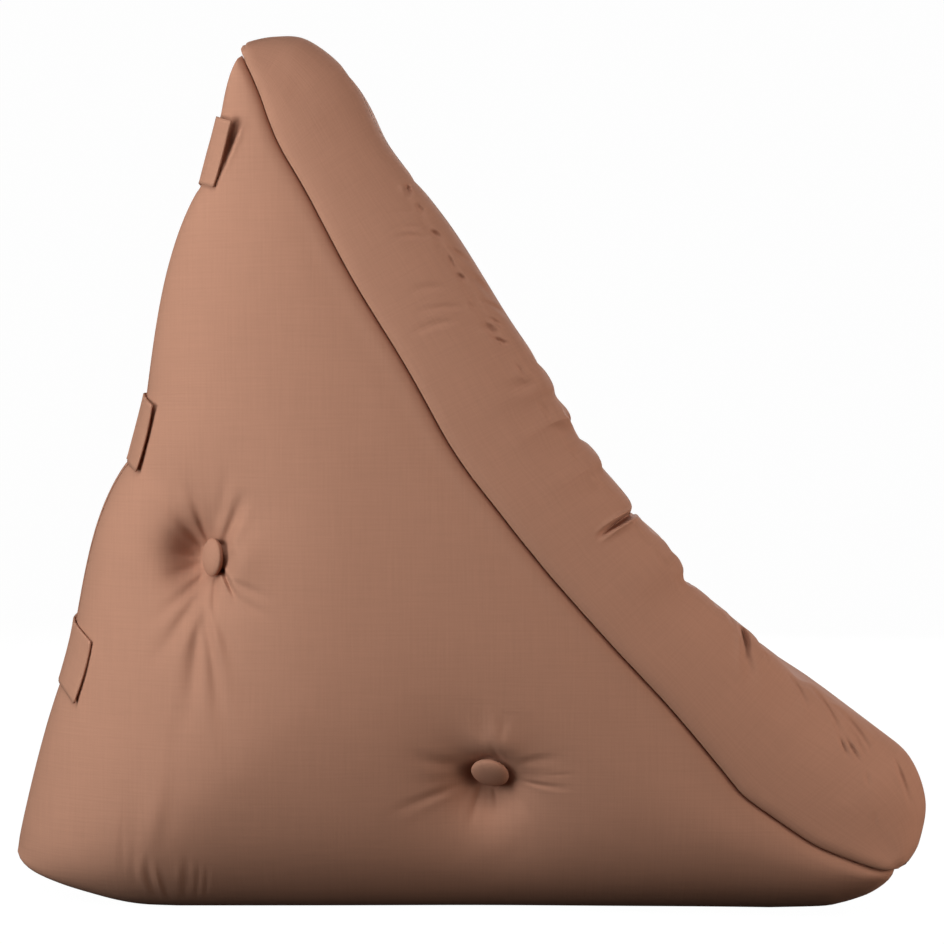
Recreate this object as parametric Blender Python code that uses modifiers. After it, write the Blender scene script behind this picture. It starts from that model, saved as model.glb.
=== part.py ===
"""Child's pouf chair: a stuffed wedge, a stuffed pad on its slope, four covered buttons and three back bands.

Metres, +Z up. The chair faces +X and its width runs along Y. The origin is at the middle of its base, on the floor.
The profile tables are in millimetres, in the plane of the chair's side: x towards the front, z up.
"""

import math
from typing import NamedTuple

import bmesh
import bpy
import numpy as np
from mathutils import Matrix, Vector
from mathutils.bvhtree import BVHTree
from mathutils.geometry import delaunay_2d_cdt

MM = 0.001

# Driving dimensions
WIDTH = 0.560
CLEARANCE = 0.0005
BAND_THICKNESS = 0.0015
BUTTON_DIAMETER = 0.028
BUTTON_THICKNESS = 0.010

COVER_COLOUR = (0.42, 0.21, 0.14)

HALF_WIDTH = WIDTH / MM / 2
SEAT_RADIUS = BUTTON_DIAMETER / MM * 0.4


class EdgeRow(NamedTuple):
    """A corner of the wedge's profile, and how far the run of cloth from it to the next corner swells out."""

    x: float
    z: float
    swell: float
    steps: int


class BaseRow(NamedTuple):
    """A place on the line of the wedge's underside, and the steps to the next one."""

    x: float
    z: float
    steps: int


class PadRow(NamedTuple):
    """A section of the pad: where its back lies on the wedge, where its front is, and the steps to the next one."""

    back_x: float
    back_z: float
    front_x: float
    front_z: float
    steps: int


class RimRow(NamedTuple):
    """A row of points inside the side's outline: how far in it is, and how close its points may come."""

    inset: float
    spacing: float


class GridPatch(NamedTuple):
    """An even grid of points on the side: its spacing, how near a button it is used, and its margin to the outline."""

    spacing: float
    within: float
    margin: float


class EdgeRounding(NamedTuple):
    """How far the side falls back at an edge, how far in from it that starts, and the room that the fall needs."""

    fall: float
    reach: float
    room: float


class Dimple(NamedTuple):
    """A buttoned point on the wedge's side: where it is, how deep, and the bearing on which it runs out slowly."""

    x: float
    z: float
    depth: float
    spread: float
    ramp_deg: float
    lean: float


class Fold(NamedTuple):
    """A trough that runs out from a button: its bearing, how far it reaches, its half width and its depth."""

    bearing_deg: float
    reach: float
    half_width: float
    depth: float


class Crease(NamedTuple):
    """A trough across the pad's front: where the front meets it, its size, and its run over the pad's side."""

    x: float
    z: float
    depth: float
    half_width: float
    drift: float
    side_x: float
    side_z: float
    side_depth: float


class BandRow(NamedTuple):
    """A band across the back: the run of the wedge's profile that it covers, and how its ends lie and stand off."""

    run: int
    wrap_top: float
    wrap_low: float
    sag: float
    lift_top: float
    lift_low: float


# From the tip down the back, then round the heel to the floor, and from the floor up to the pad's foot
WEDGE_BACK = (
    EdgeRow(-161.0, 623.6, 2.9, 3),
    EdgeRow(-177.0, 580.6, 0.5, 3),
    EdgeRow(-192.6, 531.8, 9.3, 8),
    EdgeRow(-236.8, 381.5, -0.3, 3),
    EdgeRow(-251.2, 330.2, 8.2, 7),
    EdgeRow(-293.8, 212.0, -1.0, 3),
    EdgeRow(-306.3, 164.0, 2.2, 6),
)
HEEL = (
    BaseRow(-341.5, 40.0, 2),
    BaseRow(-339.3, 34.0, 2),
    BaseRow(-333.5, 28.0, 2),
    BaseRow(-322.5, 22.0, 1),
    BaseRow(-302.0, 15.0, 1),
    BaseRow(-281.6, 9.4, 1),
    BaseRow(-259.8, 4.0, 1),
    BaseRow(-240.0, 1.0, 1),
    BaseRow(-215.0, 0.0, 0),
)
FOOT = (
    BaseRow(225.0, 0.0, 2),
    BaseRow(262.0, 1.8, 1),
    BaseRow(276.5, 5.1, 1),
    BaseRow(287.5, 9.4, 1),
    BaseRow(296.0, 14.0, 1),
    BaseRow(303.4, 21.0, 1),
    BaseRow(308.2, 29.0, 1),
    BaseRow(309.5, 38.2, 0),
)
FLOOR_STEPS = 12
SWELL_LEAN = 0.75
BACK_CROWN = 9.0

RIM_ROWS = (
    RimRow(2.5, 8.0),
    RimRow(7.0, 9.0),
    RimRow(15.0, 13.0),
)
GRID_PATCHES = (
    GridPatch(6.0, 42.0, 12.0),
    GridPatch(10.0, 90.0, 20.0),
    GridPatch(20.0, 900.0, 25.0),
)
RIM_STRIPS = 6

PAD_ROWS = (
    PadRow(-160.8, 623.8, -161.8, 629.2, 1),
    PadRow(-157.2, 615.5, -155.0, 634.4, 1),
    PadRow(-152.8, 606.0, -138.3, 639.3, 2),
    PadRow(-147.0, 592.0, -117.3, 639.0, 2),
    PadRow(-140.5, 573.5, -94.3, 623.6, 2),
    PadRow(-132.0, 554.5, -77.5, 602.0, 2),
    PadRow(-114.0, 523.5, -57.3, 563.1, 3),
    PadRow(-81.0, 461.5, -10.9, 502.8, 4),
    PadRow(-44.0, 401.0, 30.6, 436.8, 4),
    PadRow(-17.8, 353.7, 60.3, 393.5, 2),
    PadRow(-9.0, 339.0, 66.0, 378.2, 2),
    PadRow(1.5, 323.6, 77.0, 366.0, 3),
    PadRow(9.4, 313.2, 80.1, 353.3, 4),
    PadRow(28.0, 289.5, 98.0, 334.0, 3),
    PadRow(36.9, 278.1, 103.5, 322.6, 3),
    PadRow(54.6, 256.2, 119.2, 303.7, 3),
    PadRow(64.5, 244.5, 125.7, 291.7, 5),
    PadRow(88.1, 217.8, 149.8, 269.0, 3),
    PadRow(100.4, 204.2, 159.2, 255.0, 3),
    PadRow(111.5, 192.0, 166.5, 241.5, 8),
    PadRow(146.0, 155.0, 201.4, 212.9, 5),
    PadRow(178.5, 116.5, 238.1, 177.8, 2),
    PadRow(190.3, 101.9, 255.8, 167.4, 2),
    PadRow(201.0, 90.0, 270.9, 155.9, 3),
    PadRow(224.0, 73.5, 301.3, 135.6, 3),
    PadRow(251.0, 55.7, 325.4, 115.0, 3),
    PadRow(277.0, 44.8, 336.3, 84.1, 3),
    PadRow(294.0, 38.9, 330.5, 56.3, 2),
    PadRow(303.0, 37.4, 320.3, 42.5, 2),
    PadRow(309.5, 38.2, 312.0, 38.8, 0),
)
PAD_CROWN = 4.0
PAD_PROUD = 2.0

CREASES = (
    Crease(73.0, 366.0, 4.5, 6.0, 22.0, 73.0, 366.0, 0.0),
    Crease(100.0, 325.0, 2.5, 7.0, -16.0, 100.0, 325.0, 0.0),
    Crease(124.5, 295.0, 6.0, 5.5, 14.0, 94.0, 276.5, 9.0),
    Crease(136.0, 281.0, 2.5, 7.0, -20.0, 136.0, 281.0, 0.0),
    Crease(163.5, 246.0, 5.0, 8.0, 18.0, 163.5, 246.0, 0.0),
    Crease(200.5, 217.0, 3.0, 7.0, -12.0, 204.0, 177.0, 5.0),
)

BACK_ROUNDING = EdgeRounding(165.0, 260.0, 220.0)
BASE_ROUNDING = EdgeRounding(89.0, 210.0, 16.0)
FRONT_ROUNDING = EdgeRounding(56.0, 190.0, 30.0)
WEDGE_SEAM = EdgeRounding(8.0, 14.0, 1.0)
PAD_SEAM = EdgeRounding(7.0, 11.0, 1.0)
CORNER_POWER = 3.0
FRONT_MARGIN = 6.0

DIMPLES = (
    Dimple(-184.5, 261.5, 36.0, 30.0, 180.0, 1.6),
    Dimple(17.5, 106.0, 27.0, 30.0, 252.0, 1.05),
)
FOLDS = (
    (
        Fold(68.0, 70.0, 7.0, 5.0),
        Fold(120.0, 70.0, 8.0, 5.0),
        Fold(168.0, 60.0, 8.0, 4.0),
        Fold(200.0, 55.0, 7.0, 4.0),
        Fold(236.0, 110.0, 9.0, 5.0),
        Fold(258.0, 110.0, 8.0, 6.0),
        Fold(282.0, 90.0, 7.0, 4.0),
    ),
    (
        Fold(95.0, 45.0, 6.0, 4.0),
        Fold(168.0, 75.0, 8.0, 5.0),
        Fold(203.0, 85.0, 7.0, 5.0),
        Fold(255.0, 50.0, 7.0, 4.0),
        Fold(305.0, 50.0, 7.0, 4.0),
        Fold(352.0, 80.0, 6.0, 5.0),
    ),
)

BANDS = (
    BandRow(1, 15.0, 12.5, 0.0, 8.5, 1.2),
    BandRow(3, 12.0, 12.5, 5.0, 2.5, 2.5),
    BandRow(5, 20.5, 22.0, 8.5, 0.3, 3.0),
)


def spline(points, steps):
    """Points on a smooth curve through the given ones, with that many steps after each."""
    points = np.asarray(points, float)
    padded = np.vstack([2 * points[0] - points[1], points, 2 * points[-1] - points[-2]])
    made = []
    for i, count in enumerate(steps[: len(points) - 1]):
        p0, p1, p2, p3 = padded[i : i + 4]
        t = (np.arange(count) / count)[:, None]
        linear = p1 + 0.5 * (p2 - p0) * t
        bend = 0.5 * (2 * p0 - 5 * p1 + 4 * p2 - p3) * t**2 + 0.5 * (3 * p1 - p0 - 3 * p2 + p3) * t**3
        made.append(linear + bend)
    made.append(points[-1:])
    return np.vstack(made)


def run_points(row, after, t):
    """Points at fractions t along the run of the profile from one corner to the next, and the way it swells."""
    start, stop = np.array([row.x, row.z]), np.array([after.x, after.z])
    along = stop - start
    outward = np.array([along[1], -along[0]]) / np.linalg.norm(along)
    t = np.asarray(t, float)[:, None]
    return start + along * t + outward * row.swell * np.sin(math.pi * t**SWELL_LEAN), outward


def swollen(rows, end):
    """The profile along rows of corners, each run swelling outwards, most in its upper part."""
    runs = []
    for row, after in zip(rows, [*rows[1:], end]):
        points, _ = run_points(row, after, np.arange(row.steps) / row.steps)
        runs.append(points)
    return np.vstack(runs)


def underside():
    """The line of the wedge's underside: round the heel, along the floor and up to the pad's foot."""
    heel, foot = (spline([(row.x, row.z) for row in rows], [row.steps for row in rows]) for rows in (HEEL, FOOT))
    floor = np.linspace(heel[-1], foot[0], FLOOR_STEPS + 1)[1:-1]
    return np.maximum(np.vstack([heel, floor, foot]), [-np.inf, 0.0])


def lengths_along(line):
    """How far along a line each of its points is."""
    return np.concatenate([[0.0], np.cumsum(np.linalg.norm(np.diff(line, axis=0), axis=1))])


def left_normals(line):
    """The unit normals of a line, on the left of the way it runs."""
    along = np.gradient(line, axis=0)
    normal = np.stack([-along[:, 1], along[:, 0]], axis=1)
    return normal / np.linalg.norm(normal, axis=1)[:, None]


def distance_to(points, line):
    """How far each point of the side is from a line in its plane."""
    best = np.full(len(points), np.inf)
    for a, b in zip(line[:-1], line[1:]):
        along = b - a
        t = np.clip((points - a) @ along / (along @ along), 0, 1)
        best = np.minimum(best, np.linalg.norm(points - a - t[:, None] * along, axis=1))
    return best


def rounded(distance, edge, room):
    """How far the side has fallen back at that distance in from an edge: a quarter ellipse, smaller in less room."""
    reach = np.maximum(edge.reach * (1 - np.exp(-room / edge.reach)), 0.01)
    fall = edge.fall * (1 - np.exp(-room / edge.room))
    return fall * (1 - np.sqrt(1 - np.clip(1 - distance / reach, 0, 1) ** 2))


def dimpled(points, dimple, folds):
    """How deep the cloth is drawn in round a button, with the troughs that run out from it."""
    away = points - np.array([dimple.x, dimple.z])
    radius = np.linalg.norm(away, axis=1)
    bearing = np.arctan2(away[:, 1], away[:, 0])
    ramp = np.cos(bearing - math.radians(dimple.ramp_deg))
    outside = np.maximum(radius - SEAT_RADIUS, 0)
    depth = dimple.depth * np.exp(-outside / (dimple.spread * (1 + 0.5 * ramp)))
    depth += dimple.lean * radius * ramp * np.exp(-((radius / (2 * SEAT_RADIUS)) ** 2))
    for fold in folds:
        turn = bearing - math.radians(fold.bearing_deg)
        turn = np.clip(np.arctan2(np.sin(turn), np.cos(turn)), -math.pi / 2, math.pi / 2)
        across = radius * np.sin(turn) / fold.half_width
        rise = np.clip((radius - SEAT_RADIUS) / SEAT_RADIUS, 0, 1)
        fade = np.clip(1 - radius / fold.reach, 0, 1)
        depth += fold.depth * rise * fade * np.exp(-(across**2))
    return depth


class Profile:
    """The chair's side, as lines in its own plane and the half width of the chair over it, in millimetres."""

    def __init__(self):
        steps = [row.steps for row in PAD_ROWS]
        self.pad_back = spline([(row.back_x, row.back_z) for row in PAD_ROWS], steps)
        self.front = spline([(row.front_x, row.front_z) for row in PAD_ROWS], steps)
        fewer = [count if count < 4 else (count + 1) // 2 for count in steps]
        self.slope = spline([(row.back_x, row.back_z) for row in PAD_ROWS], fewer)
        self.back = swollen(WEDGE_BACK, HEEL[0])
        self.base = underside()
        self.wedge = np.vstack([self.back, self.base, self.slope[-2:0:-1]])
        self.back_edge = np.vstack([self.back, self.base[:1]])
        lengths = lengths_along(self.back_edge)
        self.back_crown = BACK_CROWN * np.sin(math.pi * lengths / lengths[-1])

    def crown_at(self, place):
        """How far the back swells out, between the chair's sides, at a place on the wedge's back edge."""
        return self.back_crown[np.argmin(np.hypot(*(self.back_edge - place).T))]

    def wedge_half_width(self, points):
        """Half the wedge's width over points of its side, with the seam and the dimples taken out."""
        back = distance_to(points, self.back_edge)
        base = distance_to(points, self.base)
        slope = distance_to(points, self.slope)
        front = distance_to(points, self.front)
        falls = (
            rounded(back, BACK_ROUNDING, back + slope),
            rounded(base, BASE_ROUNDING, base + slope),
            rounded(np.maximum(front - FRONT_MARGIN, 0), FRONT_ROUNDING, front),
        )
        half = HALF_WIDTH - sum(fall**CORNER_POWER for fall in falls) ** (1 / CORNER_POWER)
        half -= rounded(slope, WEDGE_SEAM, np.inf)
        for dimple, folds in zip(DIMPLES, FOLDS):
            half -= dimpled(points, dimple, folds)
        return half

    def pad_half_width(self, points):
        """Half the pad's width over points of its side, with its edge rounded and the creases taken out."""
        front = distance_to(points, self.front)
        slope = distance_to(points, self.slope)
        half = HALF_WIDTH + PAD_PROUD - rounded(front, FRONT_ROUNDING, front + slope)
        half -= rounded(slope, PAD_SEAM, np.inf)
        for crease in CREASES:
            run = np.array([(crease.x, crease.z), (crease.side_x, crease.side_z)])
            if crease.side_depth > 0:
                half -= crease.side_depth * np.exp(-((distance_to(points, run) / crease.half_width) ** 2))
        return half


def crease_depth(place, along, y):
    """How deep the creases across the pad's front are, at a place on its front line and across its width."""
    depth = 0.0
    for crease in CREASES:
        from_crease = np.array([crease.x, crease.z]) - place
        offset = from_crease @ along + crease.drift * (1 - abs(y)) * math.cos(2.0 * y)
        if abs(offset) < 4 * crease.half_width:
            depth += crease.depth * math.exp(-((offset / crease.half_width) ** 2))
    return depth


def band_path(row, profile, t):
    """The way a band takes round the back at a fraction t of its own width: points, near end to far end."""
    points, outward = run_points(*WEDGE_BACK[row.run : row.run + 2], [t])
    wrap = row.wrap_top * (1 - t) + row.wrap_low * t
    depths = wrap * np.linspace(1, 0, 25) ** 1.8
    side = points[0] - outward * depths[:, None]
    half = profile.wedge_half_width(side)
    flat = half[-1] * np.linspace(1, -1, 25)[1:-1]
    crown = profile.crown_at(points[0]) * (1 - (flat / half[-1]) ** 2)
    middle = points[0] + outward * crown[:, None]
    x = np.concatenate([side[:, 0], middle[:, 0], side[::-1, 0]])
    z = np.concatenate([side[:, 1], middle[:, 1], side[::-1, 1]])
    return np.stack([x, np.concatenate([-half, -flat, half[::-1]]), z], axis=1)


def spaced(line, steps):
    """A line of the same shape in steps that are short near its ends, and each point's distance to the nearer end."""
    lengths = lengths_along(line)
    fractions = np.linspace(-1, 1, steps + 1)
    fractions = 0.5 + 0.5 * np.sign(fractions) * (1 - (1 - np.abs(fractions)) ** 1.35)
    wanted = fractions * lengths[-1]
    points = np.stack([np.interp(wanted, lengths, line[:, axis]) for axis in range(3)], axis=1)
    return points, np.minimum(wanted, lengths[-1] - wanted)


def clear_scene():
    """Removes what the scene holds."""
    for obj in list(bpy.data.objects):
        bpy.data.objects.remove(obj)


def fabric(name, colour, roughness):
    """A cloth material: colour and roughness as the photograph has them."""
    material = bpy.data.materials.new(name)
    material.use_nodes = True
    shader = material.node_tree.nodes["Principled BSDF"]
    shader.inputs["Base Color"].default_value = (*colour, 1.0)
    shader.inputs["Roughness"].default_value = roughness
    shader.inputs["Metallic"].default_value = 0.0
    return material


def finish_object(name, bm, collection, material):
    """Turns a bmesh into a named object with outward faces, in the chair's collection."""
    bmesh.ops.recalc_face_normals(bm, faces=bm.faces)
    mesh = bpy.data.meshes.new(name)
    bm.to_mesh(mesh)
    bm.free()
    mesh.shade_smooth()
    mesh.set_sharp_from_angle(angle=math.radians(60.0))
    mesh.materials.append(material)
    obj = bpy.data.objects.new(name, mesh)
    collection.objects.link(obj)
    return obj


def fill_out(bm, half_width):
    """Turns a flat pattern, whose sides lie at y = 1 and y = -1, into the chair's own width over each point."""
    flat = np.array([vert.co for vert in bm.verts])
    for vert, half in zip(bm.verts, half_width(flat[:, [0, 2]])):
        vert.co = Vector((vert.co.x, vert.co.y * half, vert.co.z)) * MM


def pattern_points(outline):
    """Places for the side's points: its outline, rows just inside it, and an even grid that is finer near buttons."""
    inward = left_normals(np.vstack([outline[-1:], outline, outline[:1]]))[1:-1]
    closed = np.vstack([outline, outline[:1]])
    candidates = [(row.inset, outline + inward * row.inset, row.spacing) for row in RIM_ROWS]
    low, high = outline.min(axis=0), outline.max(axis=0)
    for patch in GRID_PATCHES:
        xs = np.arange(low[0], high[0], patch.spacing)
        zs = np.arange(low[1], high[1], patch.spacing * 0.866)
        grid = np.array([(x + patch.spacing / 2 * (i % 2), z) for i, z in enumerate(zs) for x in xs])
        inside = [inside_outline(point, closed) for point in grid]
        from_buttons = [np.hypot(*(grid - (dimple.x, dimple.z)).T) for dimple in DIMPLES]
        near = np.min(from_buttons, axis=0) < patch.within
        candidates.append((patch.margin, grid[np.array(inside) & near], patch.spacing))
    points = outline
    for margin, places, spacing in candidates:
        places = places[distance_to(places, closed) > 0.9 * margin]
        for place in places:
            if np.min(np.hypot(*(points - place).T)) > 0.62 * spacing:
                points = np.vstack([points, place])
    return points


def inside_outline(point, closed):
    """Whether a point of the side's plane is inside a closed outline."""
    (x0, z0), (x1, z1) = closed[:-1].T, closed[1:].T
    crossed = (z0 > point[1]) != (z1 > point[1])
    reach = x0 + (point[1] - z0) / np.where(z1 == z0, 1.0, z1 - z0) * (x1 - x0)
    return bool(np.count_nonzero(crossed & (point[0] < reach)) % 2)


def wedge_object(profile, collection, material):
    """The stuffed wedge: two sides cut to one pattern, joined round the rim and filled out to the half width."""
    outline = profile.wedge
    columns = len(outline)
    points = [Vector(point) for point in pattern_points(outline)]
    edges = [(i, (i + 1) % columns) for i in range(columns)]
    cut_points, _, faces, _, _, _ = delaunay_2d_cdt(points, edges, [], 1, 0.01)
    bm = bmesh.new()
    for across in (1.0, -1.0):
        verts = [bm.verts.new((point.x, across, point.y)) for point in cut_points]
        for face in faces:
            bm.faces.new([verts[i] for i in face])
    bmesh.ops.bridge_loops(bm, edges=[edge for edge in bm.edges if edge.is_boundary])
    bridges = [edge for edge in bm.edges if edge.verts[0].co.y * edge.verts[1].co.y < 0]
    bmesh.ops.subdivide_edges(bm, edges=bridges, cuts=RIM_STRIPS - 1, use_grid_fill=True)
    outward = -left_normals(np.vstack([outline[-1:], outline, outline[:1]]))[1:-1]
    for vert in bm.verts:
        if abs(vert.co.y) < 0.999:
            column = int(np.argmin(np.hypot(*(outline - (vert.co.x, vert.co.z)).T)))
            if column < len(profile.back):
                push = outward[column] * profile.back_crown[column] * (1 - vert.co.y**2)
                vert.co += Vector((push[0], 0.0, push[1]))
    fill_out(bm, profile.wedge_half_width)
    return finish_object("wedge", bm, collection, material)


def pad_object(profile, collection, material):
    """The stuffed pad: loops round its thickness and width, one for each section down the slope."""
    across = np.sin(np.linspace(-1, 1, 11) * math.pi / 2)
    depth = (1 - np.cos(np.linspace(0, math.pi, 8))) / 2
    loop = [(y, 1.0) for y in across]
    loop += [(1.0, 1 - t) for t in depth[1:]]
    loop += [(-y, 0.0) for y in across[1:]]
    loop += [(-1.0, t) for t in depth[1:-1]]
    back = profile.pad_back + left_normals(profile.pad_back) * CLEARANCE / MM
    outward = left_normals(profile.front)
    bm = bmesh.new()
    rings = []
    for at_back, at_front, normal in zip(back, profile.front, outward):
        room = min(1.0, np.linalg.norm(at_front - at_back) / 40.0)
        along = np.array([normal[1], -normal[0]])
        ring = []
        for y, t in loop:
            rise = PAD_CROWN * room * (1 - y**2) - room * crease_depth(at_front, along, y)
            point = at_back + (at_front - at_back) * t + normal * rise * t**3
            ring.append(bm.verts.new((point[0], y, point[1])))
        rings.append(ring)
    for ring, after in zip(rings[:-1], rings[1:]):
        for i, vert in enumerate(ring):
            j = (i + 1) % len(loop)
            bm.faces.new((vert, ring[j], after[j], after[i]))
    fill_out(bm, profile.pad_half_width)
    bm.faces.new(rings[0])
    bm.faces.new(rings[-1])
    return finish_object("pad", bm, collection, material)


def least_gap(bm, wedge_tree, shift):
    """The least distance between a moved piece and the wedge, negative where a corner of the piece is inside it."""
    least = math.inf
    for vert in bm.verts:
        place = vert.co + shift
        near, normal, _, distance = wedge_tree.find_nearest(place)
        least = min(least, distance if (place - near).dot(normal) > 0 else -distance)
    return least


def button_object(name, dimple, side, profile, wedge_tree, collection, material):
    """A covered button: a flattened ball that sits in its dimple and leans with the cloth there."""
    step = BUTTON_DIAMETER / MM / 4
    ring = np.array([(dimple.x, dimple.z)]) + step * np.array([(1, 0), (-1, 0), (0, 1), (0, -1), (0, 0)])
    half = profile.wedge_half_width(ring)
    slope_x = (half[0] - half[1]) / (2 * step)
    slope_z = (half[2] - half[3]) / (2 * step)
    axis = Vector((-slope_x, side, -slope_z)).normalized()
    bm = bmesh.new()
    bmesh.ops.create_uvsphere(bm, u_segments=16, v_segments=9, radius=1.0)
    turn = Vector((0, 0, 1)).rotation_difference(axis)
    for vert in bm.verts:
        flat = math.hypot(vert.co.x, vert.co.y)
        full = math.copysign(abs(vert.co.z) ** 0.8, vert.co.z)
        spread = max(0.0, 1 - abs(full) ** 2.6) ** (1 / 2.6)
        scale = spread / flat if flat > 1e-6 else 0.0
        across = scale * BUTTON_DIAMETER / 2
        vert.co = turn @ Vector((vert.co.x * across, vert.co.y * across, full * BUTTON_THICKNESS / 2))
    seat = Vector((dimple.x * MM, side * half[4] * MM, dimple.z * MM))
    shift = seat
    for _ in range(40):
        gap = least_gap(bm, wedge_tree, shift)
        if abs(gap - CLEARANCE) < 0.00003:
            break
        shift = shift + Vector((0, side, 0)) * (CLEARANCE - gap) * 0.8
    bmesh.ops.translate(bm, verts=bm.verts, vec=shift)
    return finish_object(name, bm, collection, material)


def band_object(name, row, profile, wedge_tree, collection, material):
    """A flat cloth band that lies across the back, with its two ends wrapped onto the sides and standing off them."""
    length_steps, width_steps = 26, 4
    top, low = WEDGE_BACK[row.run], WEDGE_BACK[row.run + 1]
    down = np.array([low.x - top.x, 0.0, low.z - top.z])
    down /= np.linalg.norm(down)
    rows = []
    lifts = []
    for t in np.linspace(0.02, 0.98, width_steps + 1):
        points, to_end = spaced(band_path(row, profile, t), length_steps)
        loose = np.clip(1 - to_end / 60.0, 0, 1)[:, None] ** 2
        rows.append(points + down * row.sag * loose)
        lift = row.lift_top * (1 - t) ** 2 + row.lift_low * t**2
        lifts.append(lift * np.clip(1 - to_end / 30.0, 0, 1) ** 1.5)
    surface = np.array(rows)
    normals = np.cross(np.gradient(surface, axis=1), np.gradient(surface, axis=0))
    normals /= np.linalg.norm(normals, axis=2)[:, :, None]
    if normals[0, length_steps // 2, 0] > 0:
        normals = -normals
    surface = surface + normals * (np.array(lifts) + CLEARANCE / MM)[:, :, None]
    bm = bmesh.new()
    bmesh.ops.create_grid(bm, x_segments=length_steps, y_segments=width_steps, size=1.0)
    for vert in bm.verts:
        u = round((vert.co.x + 1) / 2 * length_steps)
        v = round((vert.co.y + 1) / 2 * width_steps)
        place = Vector(surface[v, u]) * MM
        near, normal, _, _ = wedge_tree.find_nearest(place)
        vert.co = place + normal * max(0.0, 1.8 * CLEARANCE - (place - near).dot(normal))
    obj = finish_object(name, bm, collection, material)
    if obj.data.polygons[len(obj.data.polygons) // 2].normal.x > 0:
        obj.data.flip_normals()
    thicken = obj.modifiers.new("thickness", "SOLIDIFY")
    thicken.thickness = BAND_THICKNESS
    thicken.offset = 1.0
    return obj


def centre(objects):
    """Moves the chair's pieces so that the origin is at the middle of their box, on the floor."""
    corners = np.array([vert.co for obj in objects for vert in obj.data.vertices])
    low, high = corners.min(axis=0), corners.max(axis=0)
    shift = Vector((-(low[0] + high[0]) / 2, -(low[1] + high[1]) / 2, -low[2]))
    for obj in objects:
        obj.data.transform(Matrix.Translation(shift))


def main():
    """Builds the chair's pieces in a collection of its own."""
    clear_scene()
    collection = bpy.data.collections.new("pouf_chair")
    bpy.context.scene.collection.children.link(collection)
    profile = Profile()
    wedge = wedge_object(profile, collection, fabric("wedge_cloth", COVER_COLOUR, 0.9))
    pad_object(profile, collection, fabric("pad_cloth", COVER_COLOUR, 0.9))
    surface = bmesh.new()
    surface.from_mesh(wedge.data)
    wedge_tree = BVHTree.FromBMesh(surface)
    button_cloth = fabric("button_cloth", COVER_COLOUR, 0.85)
    for row, dimple in zip(("back", "base"), DIMPLES):
        for side_name, side in (("near", -1.0), ("far", 1.0)):
            name = f"button_{row}_{side_name}"
            button_object(name, dimple, side, profile, wedge_tree, collection, button_cloth)
    band_cloth = fabric("band_cloth", COVER_COLOUR, 0.9)
    for name, row in zip(("band_upper", "band_middle", "band_lower"), BANDS):
        band_object(name, row, profile, wedge_tree, collection, band_cloth)
    surface.free()
    centre(list(collection.objects))


main()
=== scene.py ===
"""Child's pouf chair: stuffed wedge, sloping pad, covered buttons and back bands, in a plain studio.

Sizes in the tables are millimetres in the plane of the chair's side: x towards the front, z up.
The finished meshes are in metres.
"""

from __future__ import annotations

import logging
import math
from dataclasses import dataclass
from enum import Enum
from typing import Callable, NamedTuple, Sequence

import bmesh
import bpy
import numpy as np
from mathutils import Matrix, Vector
from mathutils.bvhtree import BVHTree
from mathutils.geometry import delaunay_2d_cdt
from mathutils.kdtree import KDTree

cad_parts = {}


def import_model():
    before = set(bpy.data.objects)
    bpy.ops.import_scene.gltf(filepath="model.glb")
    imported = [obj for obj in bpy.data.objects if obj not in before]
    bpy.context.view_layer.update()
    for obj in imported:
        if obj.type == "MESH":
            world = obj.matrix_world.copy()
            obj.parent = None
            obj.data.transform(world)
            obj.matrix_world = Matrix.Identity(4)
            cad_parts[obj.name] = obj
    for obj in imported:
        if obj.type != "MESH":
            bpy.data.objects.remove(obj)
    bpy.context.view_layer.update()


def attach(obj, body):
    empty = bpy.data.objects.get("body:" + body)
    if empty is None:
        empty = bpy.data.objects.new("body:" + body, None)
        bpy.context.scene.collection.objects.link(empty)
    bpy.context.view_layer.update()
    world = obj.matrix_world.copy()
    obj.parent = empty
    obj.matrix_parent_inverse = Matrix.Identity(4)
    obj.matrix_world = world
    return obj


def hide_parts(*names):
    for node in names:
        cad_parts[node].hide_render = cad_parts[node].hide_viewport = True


Points = np.ndarray
LOG = logging.getLogger("pouf_chair")

MM = 0.001
HALF_WIDTH = 280.0
CENTRE_SHIFT = 0.605
CLEARANCE = 0.5
SEAT_RADIUS = 11.2
ON_SIDE = 0.999
EVEN_ROW = 0.866
SLOPE_STEPS = 12
BACK_STEPS = 24
CORNER_STEPS = 6


class Side(Enum):
    """The two sides of the chair."""

    NEAR = -1.0
    FAR = 1.0


class EdgeRow(NamedTuple):
    """A corner of the wedge's profile, and how far the cloth from it to the next corner swells out."""

    x: float
    z: float
    swell: float


class PadRow(NamedTuple):
    """A section of the pad: where its back lies on the wedge and where its front is."""

    back_x: float
    back_z: float
    front_x: float
    front_z: float


class EdgeRounding(NamedTuple):
    """How far the side falls back at an edge, how far in that starts, and the room that the fall needs."""

    fall: float
    reach: float
    room: float


class Dimple(NamedTuple):
    """A buttoned point on the wedge's side: place, depth, spread, and the bearing of its longer slope.

    The lean tips its bottom, where the button sits, along the same bearing.
    """

    x: float
    z: float
    depth: float
    spread: float
    ramp_deg: float
    lean: float


class Fold(NamedTuple):
    """A trough in the cloth between two places, bowed to the left of its run, deepest at a share of it."""

    start_x: float
    start_z: float
    end_x: float
    end_z: float
    bow: float
    start_half_width: float
    end_half_width: float
    depth: float
    peak: float = 0.16


class Crease(NamedTuple):
    """A trough across the pad's front: where it meets the side, and how it drifts across the width."""

    x: float
    z: float
    depth: float
    half_width: float
    drift: float


class BandRow(NamedTuple):
    """A band across the back: its run of the profile, how far its ends wrap round, sag and stand off."""

    name: str
    run: int
    wrap_top: float
    wrap_low: float
    sag: float
    lift_top: float
    lift_low: float


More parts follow.
